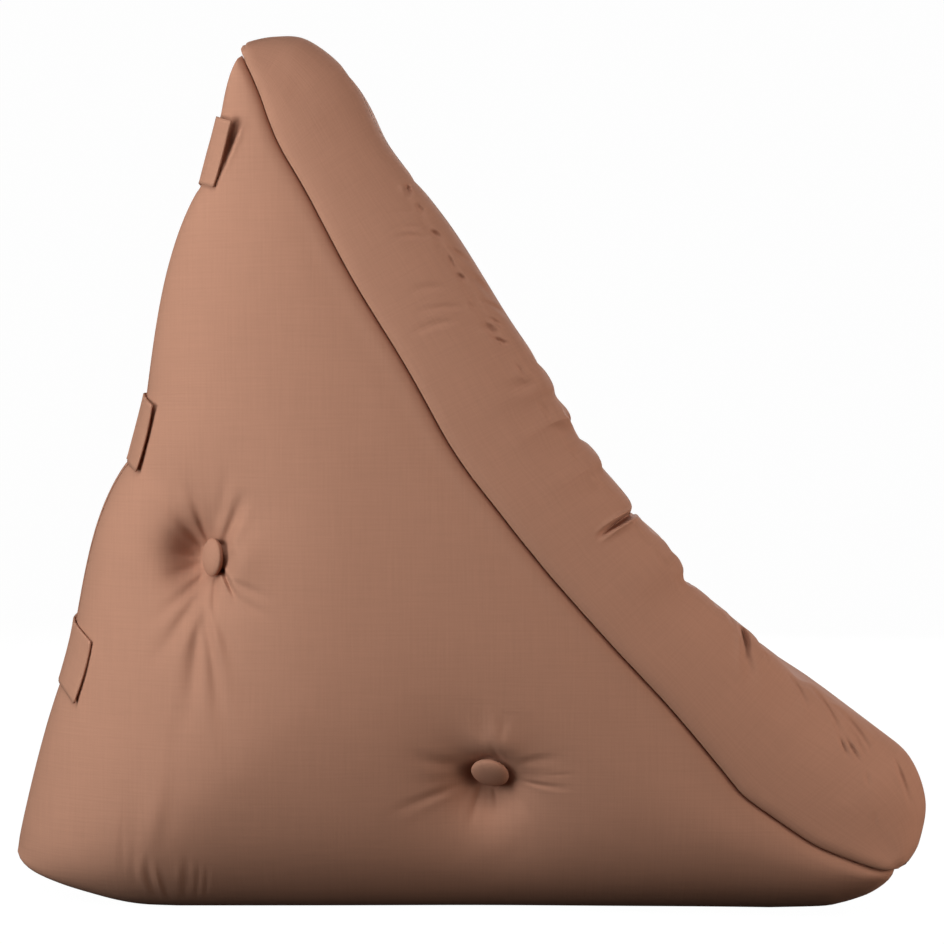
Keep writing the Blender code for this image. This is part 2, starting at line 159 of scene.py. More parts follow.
WEDGE_BACK = (
    EdgeRow(-161.0, 623.6, 2.9),
    EdgeRow(-177.0, 580.6, 0.5),
    EdgeRow(-192.6, 531.8, 9.3),
    EdgeRow(-236.8, 381.5, -0.3),
    EdgeRow(-251.2, 330.2, 8.2),
    EdgeRow(-293.8, 212.0, -1.0),
    EdgeRow(-306.3, 164.0, 2.2),
)
HEEL = (
    (-341.5, 40.0),
    (-339.3, 34.0),
    (-333.5, 28.0),
    (-322.5, 22.0),
    (-302.0, 15.0),
    (-281.6, 9.4),
    (-259.8, 4.0),
    (-240.0, 1.0),
    (-215.0, 0.0),
)
FOOT = (
    (225.0, 0.0),
    (262.0, 1.8),
    (276.5, 5.1),
    (287.5, 9.4),
    (296.0, 14.0),
    (303.4, 21.0),
    (308.2, 29.0),
    (309.5, 38.2),
)
SWELL_LEAN = 0.75
BACK_CROWN = 9.0

PAD_ROWS = (
    PadRow(-160.8, 623.8, -161.8, 629.2),
    PadRow(-157.2, 615.5, -155.0, 634.4),
    PadRow(-152.8, 606.0, -138.3, 639.3),
    PadRow(-147.0, 592.0, -117.3, 639.0),
    PadRow(-140.5, 573.5, -94.3, 623.6),
    PadRow(-132.0, 554.5, -77.5, 602.0),
    PadRow(-114.0, 523.5, -57.3, 563.1),
    PadRow(-81.0, 461.5, -10.9, 502.8),
    PadRow(-44.0, 401.0, 30.6, 436.8),
    PadRow(-17.8, 353.7, 60.3, 393.5),
    PadRow(-9.0, 339.0, 66.0, 378.2),
    PadRow(1.5, 323.6, 77.0, 366.0),
    PadRow(9.4, 313.2, 80.1, 353.3),
    PadRow(28.0, 289.5, 98.0, 334.0),
    PadRow(36.9, 278.1, 103.5, 322.6),
    PadRow(54.6, 256.2, 119.2, 303.7),
    PadRow(64.5, 244.5, 125.7, 291.7),
    PadRow(88.1, 217.8, 149.8, 269.0),
    PadRow(100.4, 204.2, 159.2, 255.0),
    PadRow(111.5, 192.0, 166.5, 241.5),
    PadRow(146.0, 155.0, 201.4, 212.9),
    PadRow(178.5, 116.5, 238.1, 177.8),
    PadRow(190.3, 101.9, 255.8, 167.4),
    PadRow(201.0, 90.0, 270.9, 155.9),
    PadRow(224.0, 73.5, 301.3, 135.6),
    PadRow(251.0, 55.7, 325.4, 115.0),
    PadRow(277.0, 44.8, 336.3, 84.1),
    PadRow(294.0, 38.9, 330.5, 56.3),
    PadRow(303.0, 37.4, 320.3, 42.5),
    PadRow(309.5, 38.2, 312.0, 38.8),
)
PAD_CROWN = 4.0
CROWN_FROM = 200.0
CROWN_RUN = 150.0
PAD_PROUD = 2.0

BACK_ROUNDING = EdgeRounding(165.0, 260.0, 220.0)
BASE_ROUNDING = EdgeRounding(89.0, 210.0, 16.0)
FRONT_ROUNDING = EdgeRounding(56.0, 190.0, 30.0)
WEDGE_SEAM = EdgeRounding(6.5, 12.0, 1.0)
PAD_SEAM = EdgeRounding(5.0, 9.0, 1.0)
PAD_EDGE = EdgeRounding(5.0, 12.0, 1.0)
CORNER_POWER = 3.0
FRONT_MARGIN = 6.0

DIMPLES = (
    Dimple(-184.5, 261.5, 36.0, 30.0, 180.0, 1.6),
    Dimple(17.5, 106.0, 27.0, 30.0, 252.0, 1.05),
)

# Folds of the wedge's sides, placed from the photograph: round the upper button, round the lower
# button, over the heel, and by the bands
WEDGE_FOLDS = (
    Fold(-177.7, 265.4, -157.7, 315.4, 0.0, 3.2, 5.5, 5.6, 0.12),
    Fold(-179.9, 278.5, -171.6, 341.3, -1.0, 3.1, 5.5, 1.3, 0.3),
    Fold(-187.9, 269.1, -207.4, 335.3, 0.1, 2.2, 5.2, 2.4, 0.08),
    Fold(-191.3, 265.9, -225.6, 311.7, 0.8, 2.2, 5.6, 1.8, 0.12),
    Fold(-193.8, 259.9, -230.2, 271.4, 1.7, 1.7, 3.5, 0.35, 0.15),
    Fold(-192.1, 256.3, -229.8, 243.7, 0.2, 2.1, 5.5, 1.4, 0.15),
    Fold(-188.6, 251.5, -236.6, 209.6, 2.1, 2.4, 5.6, 2.6, 0.15),
    Fold(-186.8, 249.5, -237.5, 172.1, 2.5, 3.2, 7.7, 3.2, 0.3),
    Fold(-186.6, 247.4, -202.3, 127.4, -1.4, 3.5, 8.4, 3.8, 0.4),
    Fold(-189.1, 230.6, -174.2, 128.2, -0.6, 2.5, 6.3, 3.6, 0.3),
    Fold(-181.9, 250.5, -176.1, 201.3, -3.6, 1.5, 3.6, 2.4, 0.1),
    Fold(-179.5, 220.4, -158.2, 174.5, -1.7, 3.1, 7.3, 1.1, 0.4),
    Fold(-178.6, 254.4, -163.8, 227.3, 0.3, 1.5, 2.1, 5.6, 0.06),
    Fold(-172.4, 247.1, -133.5, 230.1, -0.6, 1.8, 4.5, 0.9, 0.3),
    Fold(-166.1, 234.4, -130.6, 215.1, -1.3, 2.3, 5.5, 0.8, 0.4),
    Fold(4.4, 112.0, -50.3, 125.6, 3.9, 3.5, 5.5, 1.3, 0.3),
    Fold(5.9, 99.0, -62.2, 73.7, -1.5, 2.0, 4.5, 0.9, 0.4),
    Fold(11.7, 95.7, 1.5, 60.7, -0.3, 2.0, 4.1, 1.3, 0.2),
    Fold(20.5, 95.9, 22.6, 69.4, 0.5, 1.8, 2.7, 1.2, 0.2),
    Fold(29.8, 99.9, 50.7, 70.5, -1.8, 2.2, 4.5, 1.3, 0.2),
    Fold(34.8, 102.0, 79.3, 96.7, -1.8, 1.3, 2.4, 1.0, 0.4),
    Fold(33.3, 112.3, 79.1, 118.7, 1.7, 2.3, 4.5, 0.8, 0.3),
    Fold(52.0, 105.5, 82.0, 107.8, -0.6, 0.9, 1.8, 0.3, 0.5),
    Fold(28.3, 113.5, 15.2, 135.9, 1.9, 1.5, 2.7, 0.9, 0.3),
    Fold(15.9, 125.3, 8.7, 156.9, 1.3, 3.8, 5.5, 0.6, 0.4),
    Fold(24.5, 127.9, 27.4, 156.2, -1.1, 2.3, 4.5, 0.6, 0.4),
    Fold(18.9, 117.8, -15.8, 122.1, 1.1, 2.3, 3.6, 0.4, 0.3),
    Fold(-242.4, 137.3, -238.4, 14.4, -3.2, 9.1, 5.2, 0.95, 0.6),
    Fold(-219.6, 138.3, -230.2, 42.4, 2.2, 8.4, 4.9, -1.2, 0.6),
    Fold(-235.0, 51.6, -230.3, 8.1, -5.5, 3.2, 2.5, -0.9, 0.5),
    Fold(-230.6, 50.2, -223.7, 1.3, -4.4, 2.4, 2.4, 0.8, 0.5),
    Fold(-227.4, 40.9, -221.1, 5.2, -0.9, 1.4, 1.4, -0.45, 0.5),
    Fold(-222.8, 44.1, -217.4, -0.2, -0.9, 2.4, 2.9, 0.65, 0.5),
    Fold(-210.7, 50.5, -213.0, -0.2, 1.3, 3.1, 3.5, -0.5, 0.5),
    Fold(-201.9, 52.2, -209.3, -0.2, 0.6, 2.4, 2.8, 0.55, 0.5),
    Fold(-194.2, 44.4, -200.4, -0.2, 0.8, 1.7, 2.0, 0.4, 0.5),
    Fold(-187.0, 42.9, -193.6, -0.2, 0.3, 1.7, 2.1, 0.35, 0.5),
    Fold(-250.4, 80.6, -251.2, 20.8, -0.1, 2.8, 2.8, 0.6, 0.5),
    Fold(-245.2, 164.5, -242.9, 114.3, -0.7, 4.9, 5.6, 0.45, 0.5),
    Fold(-205.4, 158.9, -209.6, 101.3, -1.3, 6.3, 6.3, 0.5, 0.4),
    Fold(-175.8, 161.2, -167.9, 99.2, 1.1, 5.6, 7.0, 0.45, 0.4),
    Fold(-162.4, 581.3, -180.8, 527.2, 1.0, 2.9, 1.0, 5.0, 0.22),
    Fold(-281.9, 192.5, -291.1, 145.4, -0.0, 0.8, 1.5, 4.0, 0.75),
)

# Folds of the pad's sides, placed the same way: down from its top, then the pair of deep ones, then the
# fan over its foot
PAD_FOLDS = (
    Fold(-44.7, 533.5, -39.6, 520.9, 0.5, 1.8, 2.2, 5.0, 0.4),
    Fold(-36.7, 518.8, -28.1, 508.0, -0.2, 1.8, 2.2, 3.4, 0.4),
    Fold(-25.9, 499.3, -14.4, 490.1, -0.3, 1.8, 2.2, 3.4, 0.35),
    Fold(-13.7, 488.6, 5.9, 473.6, -0.3, 1.3, 1.8, 3.0, 0.4),
    Fold(-12.9, 481.3, -7.9, 470.4, 0.0, 1.0, 1.3, 1.8, 0.4),
    Fold(-4.3, 472.0, 20.4, 447.3, 2.4, 1.8, 2.5, 5.0, 0.6),
    Fold(-7.9, 467.4, 3.0, 460.4, 0.0, 1.5, 2.1, 2.4, 0.35),
    Fold(7.3, 448.8, 35.1, 431.6, 3.1, 1.4, 1.8, 3.2, 0.5),
    Fold(1.5, 447.2, 8.7, 438.6, 0.0, 1.1, 1.5, 1.6, 0.4),
    Fold(14.5, 436.6, 30.5, 426.0, 0.5, 1.3, 1.7, 2.4, 0.4),
    Fold(10.9, 432.1, 24.6, 421.4, 0.1, 2.0, 2.4, 2.8, 0.35),
    Fold(16.6, 422.7, 36.3, 415.1, -1.1, 1.3, 1.5, 2.4, 0.3),
    Fold(-62.0, 552.7, -47.7, 540.2, 1.2, 1.4, 1.7, 0.9, 0.4),
    Fold(34.0, 404.8, 44.8, 388.9, 0.5, 0.9, 1.3, 1.6, 0.4),
    Fold(54.2, 402.5, 61.1, 383.3, 1.6, 1.7, 2.4, 2.6, 0.5),
    Fold(-27.4, 510.4, -62.9, 509.7, -1.3, 1.7, 1.8, 0.35, 0.4),
    Fold(-25.9, 500.0, -52.9, 499.8, -0.9, 1.4, 1.7, 0.55, 0.4),
    Fold(-21.6, 491.3, -57.2, 491.7, -2.4, 1.5, 2.1, 0.85, 0.4),
    Fold(-10.0, 454.9, -45.0, 453.0, -2.8, 2.4, 3.2, 0.85, 0.4),
    Fold(3.0, 441.4, -38.5, 437.3, -3.0, 1.8, 2.5, 0.7, 0.4),
    Fold(-0.6, 431.1, -44.2, 418.7, -5.0, 2.0, 3.5, 0.7, 0.35),
    Fold(28.1, 388.1, 52.1, 384.6, 0.2, 3.5, 4.9, 2.4, 0.6),
    Fold(50.6, 376.7, 65.1, 358.6, 0.7, 1.8, 2.4, 1.6, 0.5),
    Fold(56.3, 358.6, 80.3, 351.3, 0.2, 3.5, 4.9, 3.2, 0.7),
    Fold(75.3, 342.7, 83.9, 331.2, 0.0, 1.8, 2.4, 1.4, 0.4),
    Fold(83.8, 327.6, 116.1, 295.5, 1.1, 1.0, 1.3, 1.0, 0.5),
    Fold(85.1, 315.4, 102.6, 301.6, 0.2, 4.2, 4.9, 1.2, 0.5),
    Fold(125.4, 295.2, 91.9, 274.7, -1.4, 1.8, 2.1, 14.0, 0.2),
    Fold(120.5, 289.0, 140.8, 268.7, -2.6, 1.5, 2.4, 1.5, 0.5),
    Fold(138.6, 270.9, 153.9, 252.7, -3.8, 1.5, 2.2, 1.5, 0.5),
    Fold(153.2, 254.1, 163.9, 234.6, -3.9, 1.5, 2.2, 1.4, 0.5),
    Fold(183.5, 232.0, 197.2, 205.0, 1.8, 1.4, 1.7, 7.0, 0.35),
    Fold(194.1, 221.5, 202.1, 186.9, 4.1, 2.1, 2.7, 11.0, 0.5),
    Fold(201.2, 196.6, 205.9, 167.3, 1.4, 2.4, 4.9, 2.6, 0.25),
    Fold(213.9, 198.8, 229.2, 188.6, -0.3, 1.1, 1.3, 3.6, 0.4),
    Fold(216.6, 195.3, 220.4, 181.8, 0.0, 1.0, 1.3, 1.2, 0.3),
    Fold(231.6, 178.8, 249.2, 147.8, 2.7, 1.3, 1.7, 2.6, 0.35),
    Fold(243.8, 173.6, 273.6, 127.7, 4.4, 1.4, 1.8, 3.2, 0.4),
    Fold(242.7, 178.7, 266.2, 167.4, 1.2, 1.0, 1.1, 2.6, 0.5),
    Fold(262.5, 158.2, 279.4, 151.6, 0.6, 1.0, 1.1, 2.2, 0.5),
    Fold(262.3, 157.6, 297.5, 111.8, 4.3, 1.8, 2.2, 3.6, 0.45),
    Fold(271.7, 146.5, 292.2, 112.0, 1.5, 1.3, 1.7, 2.4, 0.5),
    Fold(272.0, 135.9, 287.0, 112.2, -0.2, 1.1, 1.5, 2.2, 0.5),
    Fold(268.2, 136.1, 276.0, 117.3, 0.4, 1.1, 1.4, 2.2, 0.5),
    Fold(286.6, 146.1, 303.9, 126.0, 0.6, 1.8, 2.4, 2.4, 0.4),
    Fold(308.6, 124.3, 324.3, 76.3, -0.3, 1.3, 2.0, 2.2, 0.4),
    Fold(287.6, 110.8, 290.6, 95.5, 0.0, 1.4, 1.8, 0.9, 0.5),
    Fold(293.2, 80.7, 294.6, 68.5, 0.0, 1.1, 1.4, 0.6, 0.5),
)
RIDGE_SHARE = 0.28
RIDGE_PLACE = 1.9
LONGEST_FADE = 0.75
DRIFT_WAVE = 2.0

CREASES = (
    Crease(-88.0, 612.0, 1.5, 6.0, 10.0),
    Crease(-37.0, 537.0, 1.2, 6.0, -12.0),
    Crease(49.0, 404.0, 1.6, 7.0, 15.0),
    Crease(73.0, 366.0, 4.5, 6.0, 22.0),
    Crease(84.0, 349.0, 1.8, 5.0, 12.0),
    Crease(100.0, 325.0, 2.0, 7.0, -16.0),
    Crease(124.5, 294.8, 5.0, 2.8, 14.0),
    Crease(136.0, 281.0, 2.0, 7.0, -20.0),
    Crease(149.0, 265.0, 1.8, 6.0, 14.0),
    Crease(163.5, 246.0, 4.0, 8.0, 18.0),
    Crease(186.0, 229.0, 2.4, 5.0, -14.0),
    Crease(200.5, 217.0, 2.4, 7.0, -12.0),
    Crease(219.0, 199.0, 2.2, 5.0, 12.0),
    Crease(246.0, 177.0, 1.6, 7.0, 20.0),
)

# The seam between the pad's side and its front panel shows between two heights
PANEL_SEAM_INSET = 15.0
PANEL_SEAM_LOW = 395.0
PANEL_SEAM_HIGH = 560.0
PANEL_SEAM_FADE_LOW = 30.0
PANEL_SEAM_FADE_HIGH = 60.0
PANEL_SEAM_DEPTH = 1.6
PANEL_SEAM_HALF_WIDTH = 2.4

BANDS = (
    BandRow("band_upper", 1, 15.0, 12.5, 0.0, 8.5, 1.2),
    BandRow("band_middle", 3, 12.0, 12.5, 5.0, 2.5, 2.5),
    BandRow("band_lower", 5, 20.5, 22.0, 8.5, 0.3, 3.0),
)


def spline(points: Sequence[tuple[float, float]], steps: int) -> Points:
    """Points on a smooth curve through the given ones.

    Args:
        points: The places the curve passes through.
        steps: How many steps it takes from each place to the next.

    Returns:
        The curve's points, one a row.
    """
    given = np.asarray(points, float)
    padded = np.vstack([2 * given[0] - given[1], given, 2 * given[-1] - given[-2]])
    t = (np.arange(steps) / steps)[:, None]
    made = []
    for i in range(len(given) - 1):
        p0, p1, p2, p3 = padded[i : i + 4]
        linear = p1 + 0.5 * (p2 - p0) * t
        bend = 0.5 * (2 * p0 - 5 * p1 + 4 * p2 - p3) * t**2 + 0.5 * (3 * p1 - p0 - 3 * p2 + p3) * t**3
        made.append(linear + bend)
    made.append(given[-1:])
    return np.vstack(made)


def run_points(row: EdgeRow, after: EdgeRow, t: Points) -> tuple[Points, Points]:
    """Points along a run of the wedge's profile, and the way that the run swells.

    Args:
        row: The corner where the run starts.
        after: The corner where it ends.
        t: Fractions along the run.

    Returns:
        The points, and the unit vector that points out of the wedge.
    """
    start, stop = np.array([row.x, row.z]), np.array([after.x, after.z])
    along = stop - start
    outward = np.array([along[1], -along[0]]) / np.linalg.norm(along)
    fractions = np.asarray(t, float)[:, None]
    swell = row.swell * np.sin(math.pi * fractions**SWELL_LEAN)
    return start + along * fractions + outward * swell, outward


def lengths_along(line: Points) -> Points:
    """How far along a line each of its points is."""
    return np.concatenate([[0.0], np.cumsum(np.linalg.norm(np.diff(line, axis=0), axis=1))])


def resampled(line: Points, spacing: float) -> Points:
    """The same line with its points an even distance apart.

    Args:
        line: Points, one a row.
        spacing: About how far apart the new points are.

    Returns:
        The new points, the first and last ones kept.
    """
    lengths = lengths_along(line)
    count = max(2, round(lengths[-1] / spacing) + 1)
    wanted = np.linspace(0.0, lengths[-1], count)
    return np.stack([np.interp(wanted, lengths, line[:, axis]) for axis in range(line.shape[1])], axis=1)


def left_normals(line: Points) -> Points:
    """The unit normals of a line, on the left of the way it runs.

    Args:
        line: Points, one a row.

    Returns:
        A unit vector for each of them.
    """
    along = np.gradient(line, axis=0)
    normal = np.stack([-along[:, 1], along[:, 0]], axis=1)
    return normal / np.linalg.norm(normal, axis=1)[:, None]


def distance_to(points: Points, line: Points) -> Points:
    """How far each point of the side is from a line in its plane.

    Args:
        points: Places on the side.
        line: The line's points.

    Returns:
        The shortest way to the line from each place.
    """
    best = np.full(len(points), np.inf)
    for a, b in zip(line[:-1], line[1:]):
        along = b - a
        t = np.clip((points - a) @ along / (along @ along), 0, 1)
        best = np.minimum(best, np.linalg.norm(points - a - t[:, None] * along, axis=1))
    return best


def smooth_step(t: Points) -> Points:
    """A smooth rise from 0 to 1 as t goes from 0 to 1."""
    held = np.clip(t, 0.0, 1.0)
    return held * held * (3.0 - 2.0 * held)


def rounded(distance: Points, edge: EdgeRounding, room: Points | float) -> Points:
    """How far the side has fallen back near an edge.

    Args:
        distance: How far in from the edge each point is.
        edge: The edge's sizes.
        room: How much cloth there is for the fall at each point.

    Returns:
        The fall at each point: a quarter ellipse, smaller in less room.
    """
    least_reach = 0.01
    reach = np.maximum(edge.reach * (1 - np.exp(-room / edge.reach)), least_reach)
    fall = edge.fall * (1 - np.exp(-room / edge.room))
    return fall * (1 - np.sqrt(1 - np.clip(1 - distance / reach, 0, 1) ** 2))


def dimple_depth(points: Points, dimple: Dimple) -> Points:
    """How deep the cloth is drawn in round a button.

    Args:
        points: Places on the side.
        dimple: The buttoned point.

    Returns:
        The depth at each place.
    """
    away = points - np.array([dimple.x, dimple.z])
    radius = np.linalg.norm(away, axis=1)
    ramp = np.cos(np.arctan2(away[:, 1], away[:, 0]) - math.radians(dimple.ramp_deg))
    outside = np.maximum(radius - SEAT_RADIUS, 0)
    ramp_share = 0.5
    depth = dimple.depth * np.exp(-outside / (dimple.spread * (1 + ramp_share * ramp)))
    return depth + dimple.lean * radius * ramp * np.exp(-((radius / (2 * SEAT_RADIUS)) ** 2))


def fold_depth(points: Points, fold: Fold) -> Points:
    """How deep a fold is at each point, with the low ridges that stand beside its trough.

    Args:
        points: Places on the side.
        fold: The fold.

    Returns:
        The depth at each place, negative on a ridge.
    """
    start, stop = np.array(fold[:2]), np.array(fold[2:4])
    length = float(np.linalg.norm(stop - start))
    along = (stop - start) / length
    away = points - start
    t = away @ along / length
    across = away @ np.array([-along[1], along[0]]) - fold.bow * 4 * t * (1 - t)
    half_width = fold.start_half_width + (fold.end_half_width - fold.start_half_width) * np.clip(t, 0, 1)
    trough = np.exp(-((across / half_width) ** 2))
    ridges = np.exp(-(((np.abs(across) - RIDGE_PLACE * half_width) / half_width) ** 2))
    strength = smooth_step(t / fold.peak) * smooth_step((1 - t) / min(LONGEST_FADE, 1 - fold.peak))
    return fold.depth * strength * (trough - RIDGE_SHARE * ridges)


def folds_depth(points: Points, folds: Sequence[Fold]) -> Points:
    """How deep a side's folds are at each point, all together."""
    return sum(fold_depth(points, fold) for fold in folds)


def fold_line(fold: Fold) -> Points:
    """The bowed middle line of a fold, as a few points.

    Args:
        fold: The fold.

    Returns:
        The points.
    """
    start, stop = np.array(fold[:2]), np.array(fold[2:4])
    t = np.linspace(0.0, 1.0, 7)[:, None]
    along = (stop - start) / np.linalg.norm(stop - start)
    return start + (stop - start) * t + np.array([-along[1], along[0]]) * fold.bow * 4 * t * (1 - t)


class Profile:
    """The chair's side: its lines in their own plane, and half the chair's width over each point of it."""

    def __init__(self) -> None:
        """Works the lines out from the tables."""
        self.slope = spline([(row.back_x, row.back_z) for row in PAD_ROWS], SLOPE_STEPS)
        self.front = spline([(row.front_x, row.front_z) for row in PAD_ROWS], SLOPE_STEPS)
        self.back = self.swollen(WEDGE_BACK, EdgeRow(*HEEL[0], 0.0), BACK_STEPS)
        corners = np.vstack([spline(HEEL, CORNER_STEPS), spline(FOOT, CORNER_STEPS)])
        self.base = np.maximum(corners, [-np.inf, 0.0])
        self.back_edge = np.vstack([self.back, self.base[:1]])
        lengths = lengths_along(self.back_edge)
        self.back_crown = BACK_CROWN * np.sin(math.pi * lengths / lengths[-1])

    def crown_at(self, place: Points) -> float:
        """How far the back swells out, between the chair's sides, at a place on the wedge's back edge."""
        return float(self.back_crown[np.argmin(np.hypot(*(self.back_edge - place).T))])

    @staticmethod
    def swollen(rows: Sequence[EdgeRow], end: EdgeRow, steps: int) -> Points:
        """The line along rows of corners, without its end.

        Args:
            rows: The corners.
            end: The corner after the last row.
            steps: Steps from each corner to the next.

        Returns:
            The line's points, each run swelling outwards.
        """
        runs = []
        for row, after in zip(rows, [*rows[1:], end]):
            points, _ = run_points(row, after, np.arange(steps) / steps)
            runs.append(points)
        return np.vstack(runs)

    def wedge_half_width(self, points: Points) -> Points:
        """Half the wedge's width, with the seam and the dimples taken out but none of the folds.

        Args:
            points: Places on the side.

        Returns:
            The half width over each place.
        """
        back = distance_to(points, self.back_edge)
        base = distance_to(points, self.base)
        slope = distance_to(points, self.slope)
        front = distance_to(points, self.front)
        falls = (
            rounded(back, BACK_ROUNDING, back + slope),
            rounded(base, BASE_ROUNDING, base + slope),
            rounded(np.maximum(front - FRONT_MARGIN, 0), FRONT_ROUNDING, front),
        )
        half = HALF_WIDTH - sum(fall**CORNER_POWER for fall in falls) ** (1 / CORNER_POWER)
        half -= rounded(slope, WEDGE_SEAM, np.inf)
        for dimple in DIMPLES:
            half -= dimple_depth(points, dimple)
        return half

    def pad_half_width(self, points: Points) -> Points:
        """Half the pad's width, with its edges rounded but none of its folds taken out.

        Args:
            points: Places on the side.

        Returns:
            The half width over each place.
        """
        front = distance_to(points, self.front)
        slope = distance_to(points, self.slope)
        half = HALF_WIDTH + PAD_PROUD - rounded(front, FRONT_ROUNDING, front + slope)
        half -= rounded(slope, PAD_SEAM, np.inf) + rounded(front, PAD_EDGE, np.inf)
        seam = np.exp(-(((front - PANEL_SEAM_INSET) / PANEL_SEAM_HALF_WIDTH) ** 2))
        shown = smooth_step((points[:, 1] - PANEL_SEAM_LOW) / PANEL_SEAM_FADE_LOW)
        shown = shown * smooth_step((PANEL_SEAM_HIGH - points[:, 1]) / PANEL_SEAM_FADE_HIGH)
        return half - PANEL_SEAM_DEPTH * seam * shown


def crease_depth(place: Points, along: Points, y: Points) -> Points:
    """How deep the creases across the pad's front are along one section.

    Args:
        place: The section's place on the front line.
        along: The way the front line runs there.
        y: Places across the width, from -1 to 1.

    Returns:
        The depth at each of them.
    """
    depth = np.zeros_like(y)
    for crease in CREASES:
        offset = (np.array([crease.x, crease.z]) - place) @ along
        drifted = offset + crease.drift * (1 - np.abs(y)) * np.cos(DRIFT_WAVE * y)
        depth += crease.depth * np.exp(-((drifted / crease.half_width) ** 2))
    return depth


@dataclass(frozen=True)
class Filling:
    """The swell and the small waves that filling gives a sewn cover, from a cloth simulation.

    An even copy of the cover is shrunk, filled by pressure and let go for a few frames, and its moves
    are carried back to the cover. Sizes are millimetres.
    """

    voxel: float = 9.0
    shrink: float = 2.0
    pressure: float = 4.0
    bending: float = 0.3
    quality: int = 5
    frames: int = 20
    least_hold: float = 0.1
    cap: float = 3.0
    neighbours: int = 6
    softening: float = 4.5
    edge_margin: float = 30.0
    edge_power: int = 6

    def moves(self, bm: bmesh.types.BMesh, hold: Callable[[Points], Points]) -> Points:
        """How far the filling moves each corner of a cover.

        Args:
            bm: The cover.
            hold: How firmly sewing, the floor or a neighbour holds the cloth at given places, from 0 to 1.

        Returns:
            A move for each corner, none longer than the cap.
        """
        places = np.array([vert.co for vert in bm.verts])
        copy = self.even_copy(bm)
        start = self.corners(copy.data)
        normals = np.array([vert.normal for vert in copy.data.vertices])
        slimmer = start - normals * self.shrink
        copy.data.vertices.foreach_set("co", (slimmer * MM).ravel())
        self.pin(copy, np.maximum(hold(start), self.least_hold))
        swollen = self.simulated(copy) - slimmer
        mesh = copy.data
        bpy.data.objects.remove(copy)
        bpy.data.meshes.remove(mesh)
        length = np.maximum(np.linalg.norm(swollen, axis=1), 1e-6)
        swollen *= (self.cap * np.tanh(length / self.cap) / length)[:, None]
        return self.carried(start, swollen, places)

    def even_copy(self, bm: bmesh.types.BMesh) -> bpy.types.Object:
        """A copy of the cover in faces of one size, as an object in metres.

        Args:
            bm: The cover.

        Returns:
            The copy, linked to the scene.
        """
        mesh = bpy.data.meshes.new("even_copy")
        bm.to_mesh(mesh)
        mesh.transform(Matrix.Scale(MM, 4))
        copy = bpy.data.objects.new("even_copy", mesh)
        bpy.context.scene.collection.objects.link(copy)
        remesh = copy.modifiers.new("even", "REMESH")
        remesh.mode = "VOXEL"
        remesh.voxel_size = self.voxel * MM
        graph = bpy.context.evaluated_depsgraph_get()
        even = bpy.data.meshes.new_from_object(copy.evaluated_get(graph))
        copy.modifiers.clear()
        copy.data = even
        bpy.data.meshes.remove(mesh)
        return copy

    @staticmethod
    def corners(mesh: bpy.types.Mesh) -> Points:
        """The places of a mesh's corners, in millimetres."""
        flat = np.empty(len(mesh.vertices) * 3)
        mesh.vertices.foreach_get("co", flat)
        return flat.reshape(-1, 3) / MM

    @staticmethod
    def pin(copy: bpy.types.Object, held: Points) -> None:
        """Pins the copy's corners, each as firmly as it is held.

        Args:
            copy: The even copy.
            held: How firmly each corner is held, from 0 to 1.
        """
        group = copy.vertex_groups.new(name="held")
        for index, weight in enumerate(held):
            group.add([index], float(weight), "REPLACE")

    def simulated(self, copy: bpy.types.Object) -> Points:
        """Where the copy's corners are once its filling has pressed the cloth out.

        Args:
            copy: The even copy, with its corners pinned.

        Returns:
            A place for each corner.
        """
        cloth = copy.modifiers.new("filling", "CLOTH")
        settings = cloth.settings
        settings.quality = self.quality
        settings.bending_stiffness = self.bending
        settings.use_pressure = True
        settings.uniform_pressure_force = self.pressure
        settings.vertex_group_mass = "held"
        settings.effector_weights.gravity = 0.0
        cloth.collision_settings.use_collision = False
        cloth.point_cache.frame_start = 1
        cloth.point_cache.frame_end = self.frames
        scene = bpy.context.scene
        for frame in range(1, self.frames + 1):
            scene.frame_set(frame)
        graph = bpy.context.evaluated_depsgraph_get()
        final = bpy.data.meshes.new_from_object(copy.evaluated_get(graph))
        places = self.corners(final)
        bpy.data.meshes.remove(final)
        scene.frame_set(1)
        return places

    def carried(self, start: Points, swollen: Points, places: Points) -> Points:
        """The even copy's moves, carried over to other places by the nearest of its corners.

        Args:
            start: The copy's corners.
            swollen: Their moves.
            places: The other places.

        Returns:
            A move for each of the other places.
        """
        tree = KDTree(len(start))
        for index, place in enumerate(start):
            tree.insert(place, index)
        tree.balance()
        carried = np.empty_like(places)
        for row, place in enumerate(places):
            found = tree.find_n(place, self.neighbours)
            shares = np.array([1.0 / (distance + self.softening) ** 2 for _, _, distance in found])
            carried[row] = shares @ swollen[[index for _, index, _ in found]] / shares.sum()
        return carried

    def kept_off_edges(self, flat: Points, moves: Points, normals: Points, outline: Points) -> Points:
        """Keeps the side's outline where it is.

        The sides move across the width only, and the rest of the cover only inwards.

        Args:
            flat: The cover's corners in the flat pattern, whose sides lie at y = 1 and y = -1.
            moves: The filling's moves.
            normals: The cover's outward normals.
            outline: The side's outline.

        Returns:
            The moves that are left.
        """
        across = np.abs(flat[:, 1])
        kept = moves - normals * np.maximum((moves * normals).sum(axis=1), 0.0)[:, None]
        kept *= (1 - across**self.edge_power)[:, None]
        side = across > ON_SIDE
        fade = smooth_step(distance_to(flat[side][:, [0, 2]], outline) / self.edge_margin)
        kept[side, 1] = moves[side, 1] * fade
        return kept


